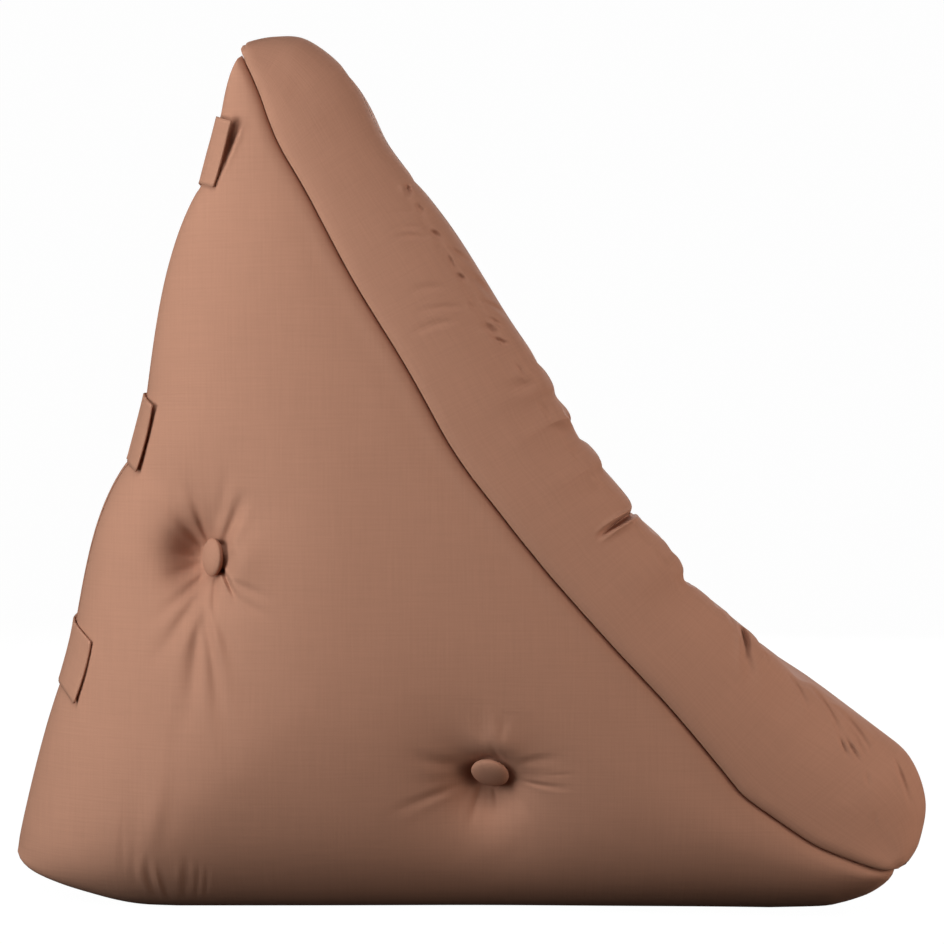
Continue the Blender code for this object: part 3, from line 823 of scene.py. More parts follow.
@dataclass(frozen=True)
class WovenCloth:
    """A plain-woven cotton cloth with slubs in both threads.

    Sizes are metres on the cloth. The weave follows the piece's own map, which is in metres too.
    """

    colour: tuple[float, float, float] = (0.43, 0.205, 0.135)
    thread_pitch: float = 0.0006
    slub_length: float = 0.045
    slub_width: float = 0.0016
    slub_colour: float = 0.11
    mottle: float = 0.07
    weave_relief: float = 0.00003
    slub_relief: float = 0.00012
    roughness: float = 0.86
    shine: float = 0.18
    sheen: float = 0.02
    sheen_roughness: float = 0.45
    blotch_scale: float = 22.0
    thread_crown: float = 0.6

    def material(self, name: str) -> bpy.types.Material:
        """Builds the cloth as a material.

        Args:
            name: What the material is called.

        Returns:
            The new material.
        """
        material = bpy.data.materials.new(name)
        material.use_nodes = True
        tree = material.node_tree
        shader = tree.nodes["Principled BSDF"]
        shader.inputs["Roughness"].default_value = self.roughness
        shader.inputs["Specular IOR Level"].default_value = self.shine
        shader.inputs["Sheen Weight"].default_value = self.sheen
        shader.inputs["Sheen Roughness"].default_value = self.sheen_roughness
        shader.inputs["Sheen Tint"].default_value = (*(0.5 + 0.5 * c for c in self.colour), 1.0)
        cloth_map = tree.nodes.new("ShaderNodeUVMap")
        cloth_map.uv_map = "cloth"
        warp = self.slub(tree, cloth_map, (1 / self.slub_width, 1 / self.slub_length, 1.0))
        weft = self.slub(tree, cloth_map, (1 / self.slub_length, 1 / self.slub_width, 7.0))
        blotch = self.noise(tree, cloth_map, (self.blotch_scale,) * 3, 3.0)
        slubs = self.maths(tree, "ADD", warp, weft)
        shade = self.maths(tree, "MULTIPLY_ADD", slubs, self.slub_colour, 1.0 - self.slub_colour)
        shade = self.maths(tree, "MULTIPLY_ADD", blotch, self.mottle, shade)
        shade = self.maths(tree, "SUBTRACT", shade, self.mottle / 2)
        colour = tree.nodes.new("ShaderNodeVectorMath")
        colour.operation = "SCALE"
        colour.inputs[0].default_value = self.colour
        tree.links.new(shade, colour.inputs["Scale"])
        tree.links.new(colour.outputs["Vector"], shader.inputs["Base Color"])
        self.relief(tree, cloth_map, slubs, shader)
        return material

    @staticmethod
    def maths(tree: bpy.types.NodeTree, operation: str, *values: object) -> bpy.types.NodeSocket:
        """Adds a Math node.

        Args:
            tree: The node tree.
            operation: What the node works out.
            values: Its inputs in order: numbers, or sockets to link.

        Returns:
            The node's output socket.
        """
        node = tree.nodes.new("ShaderNodeMath")
        node.operation = operation
        for socket, value in zip(node.inputs, values):
            if isinstance(value, bpy.types.NodeSocket):
                tree.links.new(value, socket)
            else:
                socket.default_value = float(value)
        return node.outputs["Value"]

    @staticmethod
    def noise(
        tree: bpy.types.NodeTree, source: bpy.types.Node, scale: tuple[float, float, float], detail: float
    ) -> bpy.types.NodeSocket:
        """Adds soft noise over the cloth, stretched by a scale for each way.

        Args:
            tree: The node tree.
            source: The node that gives the cloth map.
            scale: How fine the noise is along each way.
            detail: How many finer layers it has.

        Returns:
            The noise's output socket.
        """
        mapping = tree.nodes.new("ShaderNodeMapping")
        mapping.inputs["Scale"].default_value = scale
        tree.links.new(source.outputs["UV"], mapping.inputs["Vector"])
        texture = tree.nodes.new("ShaderNodeTexNoise")
        texture.inputs["Scale"].default_value = 1.0
        texture.inputs["Detail"].default_value = detail
        tree.links.new(mapping.outputs["Vector"], texture.inputs["Vector"])
        return texture.outputs["Fac"]

    def slub(
        self, tree: bpy.types.NodeTree, source: bpy.types.Node, scale: tuple[float, float, float]
    ) -> bpy.types.NodeSocket:
        """Adds the uneven thickness of one set of threads, as long thin noise.

        Args:
            tree: The node tree.
            source: The node that gives the cloth map.
            scale: How fine the noise is along each way.

        Returns:
            The thickness's output socket.
        """
        return self.noise(tree, source, scale, 2.0)

    def relief(
        self,
        tree: bpy.types.NodeTree,
        source: bpy.types.Node,
        slubs: bpy.types.NodeSocket,
        shader: bpy.types.Node,
    ) -> None:
        """Adds the relief of threads that pass over and under each other, and of the slubs.

        Args:
            tree: The node tree.
            source: The node that gives the cloth map.
            slubs: How thick the threads are.
            shader: The shader whose normal the relief turns.
        """
        split = tree.nodes.new("ShaderNodeSeparateXYZ")
        tree.links.new(source.outputs["UV"], split.inputs["Vector"])
        turns = math.pi / self.thread_pitch
        waves = []
        for axis in ("X", "Y"):
            phase = self.maths(tree, "MULTIPLY", split.outputs[axis], turns)
            waves.append(self.maths(tree, "SINE", phase))
        over = self.maths(tree, "MULTIPLY", waves[0], waves[1])
        crossing = self.maths(tree, "MULTIPLY_ADD", over, 0.5, 0.5)
        thread = self.maths(tree, "ABSOLUTE", over)
        height = self.maths(tree, "MULTIPLY_ADD", thread, self.thread_crown, crossing)
        height = self.maths(tree, "MULTIPLY", height, self.weave_relief)
        height = self.maths(tree, "MULTIPLY_ADD", slubs, self.slub_relief, height)
        bump = tree.nodes.new("ShaderNodeBump")
        bump.inputs["Strength"].default_value = 1.0
        bump.inputs["Distance"].default_value = 1.0
        tree.links.new(height, bump.inputs["Height"])
        tree.links.new(bump.outputs["Normal"], shader.inputs["Normal"])


@dataclass(frozen=True)
class Floor:
    """The white floor and the backdrop that it sweeps up into, so bright that hardly a shadow is left."""

    glow: float = 0.985
    paint: float = 0.05
    width: float = 30.0
    front: float = -8.0
    depth: float = 9.0
    sweep: float = 3.0
    height: float = 9.0
    sweep_points: int = 25
    roughness: float = 0.95

    def build(self) -> bpy.types.Object:
        """Builds the floor as one curved sheet, hidden from diffuse and glossy rays."""
        turns = np.linspace(0.0, math.pi / 2, self.sweep_points)
        line = [(self.front, 0.0)]
        line += [(self.depth + self.sweep * math.sin(a), self.sweep * (1 - math.cos(a))) for a in turns]
        line.append((self.depth + self.sweep, self.height))
        mesh = bpy.data.meshes.new("studio_floor")
        verts = [(side * self.width / 2, y, z) for y, z in line for side in (-1.0, 1.0)]
        faces = [(2 * i, 2 * i + 1, 2 * i + 3, 2 * i + 2) for i in range(len(line) - 1)]
        mesh.from_pydata(verts, [], faces)
        mesh.shade_smooth()
        material = bpy.data.materials.new("white_paint")
        material.use_nodes = True
        shader = material.node_tree.nodes["Principled BSDF"]
        shader.inputs["Base Color"].default_value = (self.paint, self.paint, self.paint, 1.0)
        shader.inputs["Roughness"].default_value = self.roughness
        shader.inputs["Specular IOR Level"].default_value = 0.0
        shader.inputs["Emission Color"].default_value = (1.0, 1.0, 1.0, 1.0)
        shader.inputs["Emission Strength"].default_value = self.glow
        mesh.materials.append(material)
        floor = bpy.data.objects.new("studio_floor", mesh)
        bpy.context.scene.collection.objects.link(floor)
        floor.visible_diffuse = False
        floor.visible_glossy = False
        return floor


@dataclass(frozen=True)
class SoftLight:
    """An area light of the studio: where it stands, what it looks at, its size and its power."""

    name: str
    place: tuple[float, float, float]
    power: float
    colour: tuple[float, float, float] = (1.0, 1.0, 1.0)
    size: float = 0.7
    target: tuple[float, float, float] = (0.0, 0.0, 0.3)

    def build(self) -> bpy.types.Object:
        """Builds the light."""
        data = bpy.data.lights.new(self.name, "AREA")
        data.shape = "DISK"
        data.size = self.size
        data.energy = self.power
        data.color = self.colour
        light = bpy.data.objects.new(self.name, data)
        light.location = self.place
        away = Vector(self.target) - Vector(self.place)
        light.rotation_euler = away.to_track_quat("-Z", "Y").to_euler()
        bpy.context.scene.collection.objects.link(light)
        return light


@dataclass(frozen=True)
class Studio:
    """The floor, the lights and the camera at the photograph's viewing angle."""

    sky: float = 0.02
    camera_place: tuple[float, float, float] = (0.005, -2.6, 0.36)
    camera_target: tuple[float, float, float] = (0.005, 0.0, 0.31)
    lens: float = 123.5
    sensor: float = 36.0
    shift_y: float = 0.0131
    lights: tuple[SoftLight, ...] = (
        SoftLight("key_low", (-0.95, -0.80, 0.40), 8.4, (0.92, 1.0, 1.0)),
        SoftLight("key_high", (-0.60, -0.90, 0.90), 3.3, (0.94, 1.0, 1.0)),
        SoftLight("key_top", (-0.30, -0.90, 1.20), 3.0, (0.96, 1.0, 1.0)),
        SoftLight("fill_low", (1.50, -1.00, 0.30), 7.2, (1.0, 0.93, 0.84)),
        SoftLight("fill_floor", (0.80, -0.90, 0.03), 1.3, (1.0, 0.92, 0.80)),
        SoftLight("fill_side", (1.40, -0.20, 1.00), 7.0, (1.0, 0.96, 0.91)),
        SoftLight("rear", (0.50, 2.40, 1.30), 36.0, size=1.4),
    )

    def build(self) -> None:
        """Builds everything round the chair."""
        Floor().build()
        for light in self.lights:
            light.build()
        world = bpy.data.worlds.new("studio_air")
        world.use_nodes = True
        background = world.node_tree.nodes["Background"]
        background.inputs["Color"].default_value = (1.0, 1.0, 1.0, 1.0)
        background.inputs["Strength"].default_value = self.sky
        scene = bpy.context.scene
        scene.world = world
        data = bpy.data.cameras.new("camera")
        data.lens = self.lens
        data.sensor_width = self.sensor
        data.shift_y = self.shift_y
        camera = bpy.data.objects.new("camera", data)
        camera.location = self.camera_place
        away = Vector(self.camera_target) - Vector(self.camera_place)
        camera.rotation_euler = away.to_track_quat("-Z", "Y").to_euler()
        scene.collection.objects.link(camera)
        scene.camera = camera
        scene.view_settings.view_transform = "Standard"
        scene.view_settings.look = "None"


class Piece:
    """What all the chair's pieces share: turning a mesh in millimetres into a finished object."""

    name: str
    slot: str

    @staticmethod
    def refine(bm: bmesh.types.BMesh, folds: Sequence[Fold], widest: float, reach: float) -> None:
        """Splits the faces of the flat near side that lie by its narrow folds.

        Args:
            bm: The pattern, whose near side is at y = -1.
            folds: The side's folds.
            widest: The greatest half width of the folds that are narrow.
            reach: How far from a fold's middle line the faces are split, in half widths of the fold.
        """
        flat = [face for face in bm.faces if all(vert.co.y < -ON_SIDE for vert in face.verts)]
        centres = np.array([face.calc_center_median() for face in flat])[:, [0, 2]]
        chosen = np.zeros(len(flat), bool)
        for fold in folds:
            half_width = min(fold.start_half_width, fold.end_half_width)
            if half_width > widest:
                continue
            line = fold_line(fold)
            margin = reach * max(fold.start_half_width, fold.end_half_width)
            beyond, before = centres > line.min(axis=0) - margin, centres < line.max(axis=0) + margin
            near = np.flatnonzero(np.all(beyond & before, axis=1))
            if len(near):
                chosen[near[distance_to(centres[near], line) < margin]] = True
        edges = {edge for face, picked in zip(flat, chosen) if picked for edge in face.edges}
        bmesh.ops.subdivide_edges(bm, edges=list(edges), cuts=1, use_grid_fill=True)

    @staticmethod
    def fill(
        bm: bmesh.types.BMesh,
        half_width: Callable[[Points], Points],
        folds: Sequence[Fold],
        hold: Callable[[Points], Points],
        outline: Points,
    ) -> None:
        """Fills a flat pattern out to its width, lets its filling swell it, and takes the side's folds out.

        Args:
            bm: The pattern, whose sides lie at y = 1 and y = -1.
            half_width: Half the piece's width over places of its side.
            folds: The side's folds.
            hold: How firmly the cloth is held at given places.
            outline: The side's outline, closed.
        """
        flat = np.array([vert.co for vert in bm.verts])
        for vert, width in zip(bm.verts, half_width(flat[:, [0, 2]])):
            vert.co.y *= width
        bmesh.ops.recalc_face_normals(bm, faces=bm.faces)
        bm.normal_update()
        normals = np.array([vert.normal for vert in bm.verts])
        filling = Filling()
        moves = filling.kept_off_edges(flat, filling.moves(bm, hold), normals, outline)
        moves[:, 1] -= flat[:, 1] * folds_depth(flat[:, [0, 2]], folds)
        for vert, move in zip(bm.verts, moves):
            vert.co += Vector(move)

    def finished(self, bm: bmesh.types.BMesh, node: str, material: bpy.types.Material) -> bpy.types.Object:
        """Turns a mesh in millimetres into an object that rides on the chair in place of a node.

        Args:
            bm: The mesh, in millimetres, before the chair is centred.
            node: The node it stands for.
            material: What it is made of.

        Returns:
            The object.
        """
        bm.transform(Matrix.Scale(MM, 4) @ Matrix.Translation((CENTRE_SHIFT, 0.0, 0.0)))
        bmesh.ops.recalc_face_normals(bm, faces=bm.faces)
        mesh = bpy.data.meshes.new(node + "_cloth")
        bm.to_mesh(mesh)
        bm.free()
        mesh.shade_smooth()
        mesh.materials.append(material)
        obj = bpy.data.objects.new(node + "_cloth", mesh)
        bpy.context.scene.collection.objects.link(obj)
        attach(obj, "root")
        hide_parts(node)
        LOG.info("%s: %d faces", obj.name, len(mesh.polygons))
        return obj


@dataclass
class StuffedWedge(Piece):
    """The stuffed wedge: two sides cut to one pattern, joined by a strip round the rim."""

    profile: Profile
    name: str = "wedge"
    slot: str = "wedge_cloth"
    rim_spacing: float = 4.0
    side_spacing: float = 3.3
    rim_rows: int = 11
    rim_step: float = 0.026
    strips: int = 56
    long_side: float = 1.3
    seam_hold: float = 8.0
    floor_hold: float = 3.0
    button_hold: float = 1.4 * SEAT_RADIUS
    band_hold: float = 24.0
    side_share: float = 0.2
    row_margin: float = 0.9
    row_spacing: float = 0.6
    grid_margin: float = 0.7
    strip_share: float = 0.8
    refinements: tuple[tuple[float, float], ...] = ((6.0, 2.6), (2.2, 2.0))

    def outline(self) -> Points:
        """The pattern's outline: down the back, along the base and up the slope.

        Returns:
            Its corners, none of them twice.
        """
        back = resampled(self.profile.back_edge, self.rim_spacing)
        base = resampled(self.profile.base, self.rim_spacing * self.long_side)
        slope = resampled(self.profile.slope[::-1], self.rim_spacing * self.long_side)
        return np.vstack([back[:-1], base[:-1], slope[:-1]])

    def pattern_points(self, outline: Points) -> Points:
        """Places for one side's points: its outline, close rows inside it, and an even grid.

        Args:
            outline: The pattern's outline.

        Returns:
            The places, those of the outline first.
        """
        inward = left_normals(np.vstack([outline[-1:], outline, outline[:1]]))[1:-1]
        closed = np.vstack([outline, outline[:1]])
        insets = 0.5 * BACK_ROUNDING.reach * (self.rim_step * np.arange(1, self.rim_rows + 1)) ** 2
        spacing = self.row_spacing * self.rim_spacing
        sets = [(self.row_margin * inset, outline + inward * inset, spacing) for inset in insets]
        low, high = outline.min(axis=0), outline.max(axis=0)
        xs = np.arange(low[0], high[0], self.side_spacing)
        zs = np.arange(low[1], high[1], self.side_spacing * EVEN_ROW)
        grid_x, grid_z = np.meshgrid(xs, zs)
        grid_x = grid_x + self.side_spacing / 2 * (np.arange(len(zs)) % 2)[:, None]
        grid = np.stack([grid_x.ravel(), grid_z.ravel()], axis=1)
        grid = grid[self.inside(grid, closed)]
        sets.append((insets[-1] + self.grid_margin * self.side_spacing, grid, 0.0))
        kept = [outline]
        for margin, places, spacing in sets:
            places = places[distance_to(places, closed) > margin]
            kept.append(self.thinned(places, spacing))
        return np.vstack(kept)

    @staticmethod
    def thinned(places: Points, spacing: float) -> Points:
        """A row of places without those that come too close to the one before.

        Args:
            places: The row.
            spacing: The least distance, or 0 to keep every place.

        Returns:
            The places that are kept.
        """
        if spacing <= 0:
            return places
        kept: list[Points] = []
        for place in places:
            if not kept or np.hypot(*(place - kept[-1])) > spacing:
                kept.append(place)
        return np.array(kept)

    @staticmethod
    def inside(points: Points, closed: Points) -> Points:
        """Which points of the side's plane are inside a closed outline.

        Args:
            points: Places in the side's plane.
            closed: The outline, its first corner repeated at its end.

        Returns:
            True for each place inside.
        """
        within = np.zeros(len(points), bool)
        for (x0, z0), (x1, z1) in zip(closed[:-1], closed[1:]):
            if z0 == z1:
                continue
            crossed = (z0 > points[:, 1]) != (z1 > points[:, 1])
            reach = x0 + (points[:, 1] - z0) / (z1 - z0) * (x1 - x0)
            within ^= crossed & (points[:, 0] < reach)
        return within

    def flat_pattern(self) -> bmesh.types.BMesh:
        """The two sides at y = 1 and y = -1, joined round the rim by even strips.

        Returns:
            The pattern, a closed mesh.
        """
        outline = self.outline()
        columns = len(outline)
        points = [Vector(point) for point in self.pattern_points(outline)]
        edges = [(i, (i + 1) % columns) for i in range(columns)]
        places, _, faces, _, _, _ = delaunay_2d_cdt(points, edges, [], 1, 0.001)
        bm = bmesh.new()
        for across in (1.0, -1.0):
            verts = [bm.verts.new((place.x, across, place.y)) for place in places]
            for face in faces:
                bm.faces.new([verts[i] for i in face])
        bmesh.ops.bridge_loops(bm, edges=[edge for edge in bm.edges if edge.is_boundary])
        bridges = [edge for edge in bm.edges if edge.verts[0].co.y * edge.verts[1].co.y < 0]
        bmesh.ops.subdivide_edges(bm, edges=bridges, cuts=self.strips - 1, use_grid_fill=True)
        self.crown(bm, outline)
        return bm

    @staticmethod
    def rim_tree(outline: Points) -> KDTree:
        """A search tree that finds the nearest of the outline's corners to a place at y = 0.

        Args:
            outline: The pattern's outline.

        Returns:
            The tree.
        """
        tree = KDTree(len(outline))
        for index, (x, z) in enumerate(outline):
            tree.insert((x, 0.0, z), index)
        tree.balance()
        return tree

    def crown(self, bm: bmesh.types.BMesh, outline: Points) -> None:
        """Swells the strip over the back out between the two sides.

        Args:
            bm: The pattern.
            outline: Its outline.
        """
        outward = -left_normals(np.vstack([outline[-1:], outline, outline[:1]]))[1:-1]
        back = round(lengths_along(self.profile.back_edge)[-1] / self.rim_spacing)
        swell = BACK_CROWN * np.sin(np.linspace(0.0, math.pi, back + 1))
        tree = self.rim_tree(outline)
        for vert in bm.verts:
            if abs(vert.co.y) < ON_SIDE:
                _, column, _ = tree.find((vert.co.x, 0.0, vert.co.z))
                if column <= back:
                    push = outward[column] * swell[column] * (1 - vert.co.y**2)
                    vert.co += Vector((push[0], 0.0, push[1]))

    def map_cloth(self, bm: bmesh.types.BMesh, outline: Points) -> None:
        """Lays the cloth map: the sides by x and z, the strip by the way along the rim and by y.

        Args:
            bm: The pattern.
            outline: Its outline.
        """
        closed = np.vstack([outline, outline[:1]])
        runs = lengths_along(closed)
        tree = self.rim_tree(outline)
        layer = bm.loops.layers.uv.new("cloth")
        for face in bm.faces:
            if all(abs(vert.co.y) > ON_SIDE for vert in face.verts):
                for loop in face.loops:
                    loop[layer].uv = (loop.vert.co.x * MM, loop.vert.co.z * MM)
                continue
            columns = []
            for loop in face.loops:
                _, column, _ = tree.find((loop.vert.co.x, 0.0, loop.vert.co.z))
                columns.append(column)
            wraps = max(columns) - min(columns) > len(outline) / 2
            for loop, column in zip(face.loops, columns):
                along = runs[-1] if wraps and column == 0 else runs[column]
                loop[layer].uv = (loop.vert.co.y * HALF_WIDTH * self.strip_share * MM, along * MM)

    def hold(self, places: Points) -> Points:
        """How firmly the wedge's cloth is held: at its seam, on the floor, by the buttons and bands.

        Args:
            places: Places on the wedge.

        Returns:
            The hold at each place, from 0 to 1.
        """
        side = places[:, [0, 2]]
        held = np.exp(-((distance_to(side, self.profile.slope) / self.seam_hold) ** 2))
        held = np.maximum(held, places[:, 2] < self.floor_hold)
        for dimple in DIMPLES:
            near = np.hypot(*(side - dimple[:2]).T) < self.button_hold
            held = np.maximum(held, near & (np.abs(places[:, 1]) > self.side_share * HALF_WIDTH))
        for band in BANDS:
            top, low = WEDGE_BACK[band.run], WEDGE_BACK[band.run + 1]
            run = np.array([(top.x, top.z), (low.x, low.z)])
            held = np.maximum(held, distance_to(side, run) < self.band_hold)
        return held

    def build(self, material: bpy.types.Material) -> bpy.types.Object:
        """Builds the wedge: pattern, cloth map and filling.

        Args:
            material: The cloth.

        Returns:
            The wedge.
        """
        bm = self.flat_pattern()
        outline = self.outline()
        self.map_cloth(bm, outline)
        for widest, reach in self.refinements:
            self.refine(bm, WEDGE_FOLDS, widest, reach)
        closed = np.vstack([outline, outline[:1]])
        self.fill(bm, self.profile.wedge_half_width, WEDGE_FOLDS, self.hold, closed)
        obj = self.finished(bm, self.name, material)
        return obj


@dataclass
class SlopePad(Piece):
    """The stuffed pad on the slope: a loop round it for each section down the slope."""

    profile: Profile
    name: str = "pad"
    slot: str = "pad_cloth"
    spacing: float = 2.0
    front_columns: int = 61
    back_columns: int = 13
    side_columns: int = 26
    seam_hold: float = 8.0
    full_room: float = 40.0
    thickness: float = 80.0
    refinements: tuple[tuple[float, float], ...] = ((3.0, 2.8), (1.8, 2.4))

    def loop(self) -> list[tuple[float, float]]:
        """One section's corners: place across the width, -1 to 1, and share of the thickness, 0 to 1.

        Returns:
            The corners, in order round the section.
        """
        front = np.sin(np.linspace(-1, 1, self.front_columns) * math.pi / 2)
        back = np.sin(np.linspace(-1, 1, self.back_columns) * math.pi / 2)
        depth = (1 - np.cos(np.linspace(0, math.pi, self.side_columns))) / 2
        corners = [(float(y), 1.0) for y in front]
        corners += [(1.0, float(1 - t)) for t in depth[1:]]
        corners += [(float(-y), 0.0) for y in back[1:]]
        corners += [(-1.0, float(t)) for t in depth[1:-1]]
        return corners

    def hold(self, places: Points) -> Points:
        """How firmly the pad's cloth is held: over its back, which is sewn to the wedge."""
        return np.exp(-((distance_to(places[:, [0, 2]], self.profile.slope) / self.seam_hold) ** 2))

    def sections(self) -> tuple[Points, Points]:
        """The pad's back and front lines, with a point on each for every section.

        Returns:
            The back line and the front line.
        """
        slope_share = 0.3
        lengths = lengths_along(self.profile.front) + slope_share * lengths_along(self.profile.slope)
        count = round(lengths[-1] / (1 + slope_share) / self.spacing)
        wanted = np.linspace(0.0, lengths[-1], count)
        lines = []
        for line in (self.profile.slope, self.profile.front):
            lines.append(np.stack([np.interp(wanted, lengths, line[:, axis]) for axis in (0, 1)], axis=1))
        back, front = lines
        return back + left_normals(back) * CLEARANCE, front

    def build(self, material: bpy.types.Material) -> bpy.types.Object:
        """Builds the pad.

        Args:
            material: The cloth.

        Returns:
            The pad.
        """
        corners = self.loop()
        across = np.array([y for y, _ in corners])
        share = np.array([t for _, t in corners])
        back, front = self.sections()
        outward = left_normals(front)
        bm = bmesh.new()
        rings = []
        for at_back, at_front, normal in zip(back, front, outward):
            room = min(1.0, float(np.linalg.norm(at_front - at_back)) / self.full_room)
            along = np.array([normal[1], -normal[0]])
            crown = PAD_CROWN * smooth_step((at_front[1] - CROWN_FROM) / CROWN_RUN)
            rise = room * (crown * (1 - across**2) - crease_depth(at_front, along, across))
            places = at_back + (at_front - at_back) * share[:, None] + normal * (rise * share**3)[:, None]
            rings.append([bm.verts.new((x, y, z)) for (x, z), y in zip(places, across)])
        self.skin(bm, rings, front, corners)
        for widest, reach in self.refinements:
            self.refine(bm, PAD_FOLDS, widest, reach)
        outline = np.vstack([self.profile.slope, self.profile.front[::-1], self.profile.slope[:1]])
        self.fill(bm, self.profile.pad_half_width, PAD_FOLDS, self.hold, outline)
        obj = self.finished(bm, self.name, material)
        return obj

    def skin(
        self,
        bm: bmesh.types.BMesh,
        rings: list[list[bmesh.types.BMVert]],
        front: Points,
        corners: list[tuple[float, float]],
    ) -> None:
        """Joins the sections and lays the cloth map: down the slope, and round the section.

        Args:
            bm: The mesh that holds the sections.
            rings: Each section's corners.
            front: The front line, a point for each section.
            corners: The section's corners as shares of width and thickness.
        """
        layer = bm.loops.layers.uv.new("cloth")
        down = lengths_along(front)
        around = [0.0]
        for (y0, t0), (y1, t1) in zip(corners, [*corners[1:], corners[0]]):
            around.append(around[-1] + abs(y1 - y0) * HALF_WIDTH + abs(t1 - t0) * self.thickness)
        for k in range(len(rings) - 1):
            for i in range(len(corners)):
                j = (i + 1) % len(corners)
                face = bm.faces.new((rings[k][i], rings[k][j], rings[k + 1][j], rings[k + 1][i]))
                uvs = ((i, k), (i + 1, k), (i + 1, k + 1), (i, k + 1))
                for loop, (u, v) in zip(face.loops, uvs):
                    loop[layer].uv = (around[u] * MM, -down[v] * MM)
        bm.faces.new(rings[0])
        bm.faces.new(rings[-1])


@dataclass
class CoveredButton(Piece):
    """A covered button: a flattened ball of cloth that sits in its dimple and leans with it."""

    profile: Profile
    surface: BVHTree
    dimple: Dimple
    side: Side
    name: str
    slot: str = "button_cloth"
    diameter: float = 28.0
    thickness: float = 10.0
    segments: int = 48
    rings: int = 28
    fullness: float = 2.1
    flatness: float = 0.8
    pinch: float = 0.035
    pinch_height: float = -0.15
    pinch_spread: float = 0.12
    seating_tries: int = 40
    seating_slack: float = 0.03
    seating_step: float = 0.8

    def axis(self) -> Vector:
        """The way the button faces.

        Returns:
            A unit vector, square to the cloth round the button.
        """
        step = self.diameter / 4
        around = np.array([(1, 0), (-1, 0), (0, 1), (0, -1)], float) * step
        half = self.profile.wedge_half_width(np.array([self.dimple[:2]]) + around)
        slope_x, slope_z = (half[0] - half[1]) / (2 * step), (half[2] - half[3]) / (2 * step)
        return Vector((-slope_x, self.side.value, -slope_z)).normalized()

    def least_gap(self, places: list[Vector], shift: Vector) -> float:
        """The least distance from the moved button to the wedge, negative where it is inside it.

        Args:
            places: The button's corners.
            shift: How far it is moved.

        Returns:
            The distance.
        """
        least = math.inf
        for place in places:
            moved = place + shift
            near, normal, _, distance = self.surface.find_nearest(moved)
            least = min(least, distance if (moved - near).dot(normal) > 0 else -distance)
        return least

    def build(self, material: bpy.types.Material) -> bpy.types.Object:
        """Builds the button.

        Args:
            material: The cloth.

        Returns:
            The button.
        """
        axis = self.axis()
        turn = Vector((0, 0, 1)).rotation_difference(axis)
        bm = bmesh.new()
        bmesh.ops.create_uvsphere(bm, u_segments=self.segments, v_segments=self.rings, radius=1.0)
        layer = bm.loops.layers.uv.new("cloth")
        for face in bm.faces:
            for loop in face.loops:
                loop[layer].uv = loop.vert.co.xy * (self.diameter / 2 * MM)
        for vert in bm.verts:
            flat = math.hypot(vert.co.x, vert.co.y)
            full = math.copysign(abs(vert.co.z) ** self.flatness, vert.co.z)
            spread = max(0.0, 1 - abs(full) ** self.fullness) ** (1 / self.fullness)
            pinch = 1 - self.pinch * math.exp(-(((full - self.pinch_height) / self.pinch_spread) ** 2))
            scale = spread * pinch * self.diameter / 2 / flat if flat > 1e-6 else 0.0
            vert.co = turn @ Vector((vert.co.x * scale, vert.co.y * scale, full * self.thickness / 2))
        half = float(self.profile.wedge_half_width(np.array([self.dimple[:2]]))[0])
        shift = Vector((self.dimple.x, self.side.value * half, self.dimple.z))
        places = [vert.co.copy() for vert in bm.verts]
        for _ in range(self.seating_tries):
            gap = self.least_gap(places, shift)
            if abs(gap - CLEARANCE) < self.seating_slack:
                break
            shift = shift + Vector((0.0, self.side.value, 0.0)) * (CLEARANCE - gap) * self.seating_step
        bmesh.ops.translate(bm, verts=bm.verts, vec=shift)
        obj = self.finished(bm, self.name, material)
        return obj


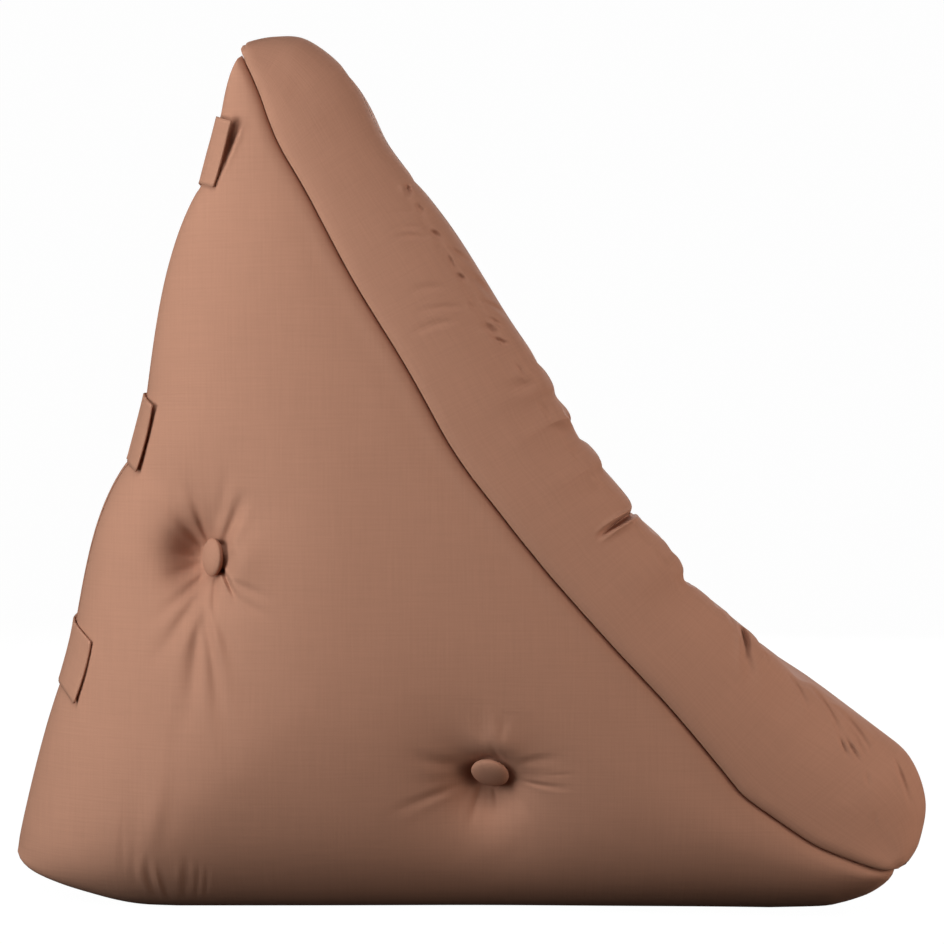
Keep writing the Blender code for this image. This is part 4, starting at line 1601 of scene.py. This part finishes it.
@dataclass
class BackBand(Piece):
    """A flat cloth band across the back, with its two ends wrapped onto the sides and standing off them."""

    profile: Profile
    surface: BVHTree
    row: BandRow
    slot: str = "band_cloth"
    length_steps: int = 150
    width_steps: int = 16
    thickness: float = 1.5
    margin: float = 0.02
    path_points: int = 25
    wrap_power: float = 1.8
    end_crowding: float = 1.35
    sag_reach: float = 60.0
    lift_reach: float = 30.0
    lift_power: float = 1.5
    least_gap: float = 1.8 * CLEARANCE

    def path(self, t: float) -> Points:
        """The way the band takes round the back, at one height of it.

        Args:
            t: The fraction of the band's width, from its upper edge.

        Returns:
            Points from the near end to the far end.
        """
        points, outward = run_points(*WEDGE_BACK[self.row.run : self.row.run + 2], np.array([t]))
        wrap = self.row.wrap_top * (1 - t) + self.row.wrap_low * t
        depths = wrap * np.linspace(1, 0, self.path_points) ** self.wrap_power
        side = points[0] - outward * depths[:, None]
        half = self.profile.wedge_half_width(side)
        flat = half[-1] * np.linspace(1, -1, self.path_points)[1:-1]
        crown = self.profile.crown_at(points[0]) * (1 - (flat / half[-1]) ** 2)
        middle = points[0] + outward * crown[:, None]
        x = np.concatenate([side[:, 0], middle[:, 0], side[::-1, 0]])
        z = np.concatenate([side[:, 1], middle[:, 1], side[::-1, 1]])
        return np.stack([x, np.concatenate([-half, -flat, half[::-1]]), z], axis=1)

    def spaced(self, line: Points) -> tuple[Points, Points]:
        """The same line in steps that shorten towards its ends.

        Args:
            line: The line's points.

        Returns:
            The new points, and how far along the line each is from the nearer end.
        """
        lengths = lengths_along(line)
        fractions = np.linspace(-1, 1, self.length_steps + 1)
        spread = 1 - (1 - np.abs(fractions)) ** self.end_crowding
        fractions = 0.5 + 0.5 * np.sign(fractions) * spread
        wanted = fractions * lengths[-1]
        points = np.stack([np.interp(wanted, lengths, line[:, axis]) for axis in range(3)], axis=1)
        return points, np.minimum(wanted, lengths[-1] - wanted)

    def inner_face(self) -> tuple[Points, float]:
        """The band's inner face.

        Returns:
            Its points by row and column, and the band's length.
        """
        top, low = WEDGE_BACK[self.row.run], WEDGE_BACK[self.row.run + 1]
        down = np.array([low.x - top.x, 0.0, low.z - top.z])
        down /= np.linalg.norm(down)
        rows, lifts = [], []
        for t in np.linspace(self.margin, 1 - self.margin, self.width_steps + 1):
            points, to_end = self.spaced(self.path(t))
            loose = np.clip(1 - to_end / self.sag_reach, 0, 1)[:, None] ** 2
            rows.append(points + down * self.row.sag * loose)
            lift = self.row.lift_top * (1 - t) ** 2 + self.row.lift_low * t**2
            lifts.append(lift * np.clip(1 - to_end / self.lift_reach, 0, 1) ** self.lift_power)
        surface = np.array(rows)
        normals = np.cross(np.gradient(surface, axis=1), np.gradient(surface, axis=0))
        normals /= np.linalg.norm(normals, axis=2)[:, :, None]
        if normals[0, self.length_steps // 2, 0] > 0:
            normals = -normals
        surface = surface + normals * (np.array(lifts) + CLEARANCE)[:, :, None]
        return surface, float(lengths_along(surface[self.width_steps // 2])[-1])

    def build(self, material: bpy.types.Material) -> bpy.types.Object:
        """Builds the band.

        Args:
            material: The cloth.

        Returns:
            The band.
        """
        surface, length = self.inner_face()
        middle = surface[:, self.length_steps // 2]
        width = float(np.linalg.norm(middle[-1] - middle[0]))
        bm = bmesh.new()
        grid = [[bm.verts.new(place) for place in row] for row in surface]
        for row in grid:
            for vert in row:
                near, normal, _, _ = self.surface.find_nearest(vert.co)
                vert.co += normal * max(0.0, self.least_gap - (vert.co - near).dot(normal))
        layer = bm.loops.layers.uv.new("cloth")
        for v in range(self.width_steps):
            for u in range(self.length_steps):
                face = bm.faces.new((grid[v][u], grid[v][u + 1], grid[v + 1][u + 1], grid[v + 1][u]))
                corners = ((u, v), (u + 1, v), (u + 1, v + 1), (u, v + 1))
                for loop, (i, j) in zip(face.loops, corners):
                    along, down = i / self.length_steps * length, j / self.width_steps * width
                    loop[layer].uv = (along * MM, down * MM)
        obj = self.finished(bm, self.row.name, material)
        if obj.data.polygons[len(obj.data.polygons) // 2].normal.x > 0:
            obj.data.flip_normals()
        thicken = obj.modifiers.new("thickness", "SOLIDIFY")
        thicken.thickness = self.thickness * MM
        thicken.offset = 1.0
        return obj


def main() -> None:
    """Builds the chair and its studio."""
    logging.basicConfig(level=logging.INFO, format="%(message)s")
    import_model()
    profile = Profile()
    Studio().build()
    cloth = WovenCloth()
    wedge = StuffedWedge(profile).build(cloth.material("wedge_weave"))
    SlopePad(profile).build(cloth.material("pad_weave"))
    places = [Vector(vert.co) / MM - Vector((CENTRE_SHIFT, 0.0, 0.0)) for vert in wedge.data.vertices]
    surface = BVHTree.FromPolygons(places, [tuple(face.vertices) for face in wedge.data.polygons])
    button_weave = cloth.material("button_weave")
    for row, dimple in zip(("back", "base"), DIMPLES):
        for side in Side:
            name = f"button_{row}_{side.name.lower()}"
            CoveredButton(profile, surface, dimple, side, name).build(button_weave)
    band_weave = cloth.material("band_weave")
    for band in BANDS:
        BackBand(profile, surface, band).build(band_weave)


if __name__ == "__main__":
    main()
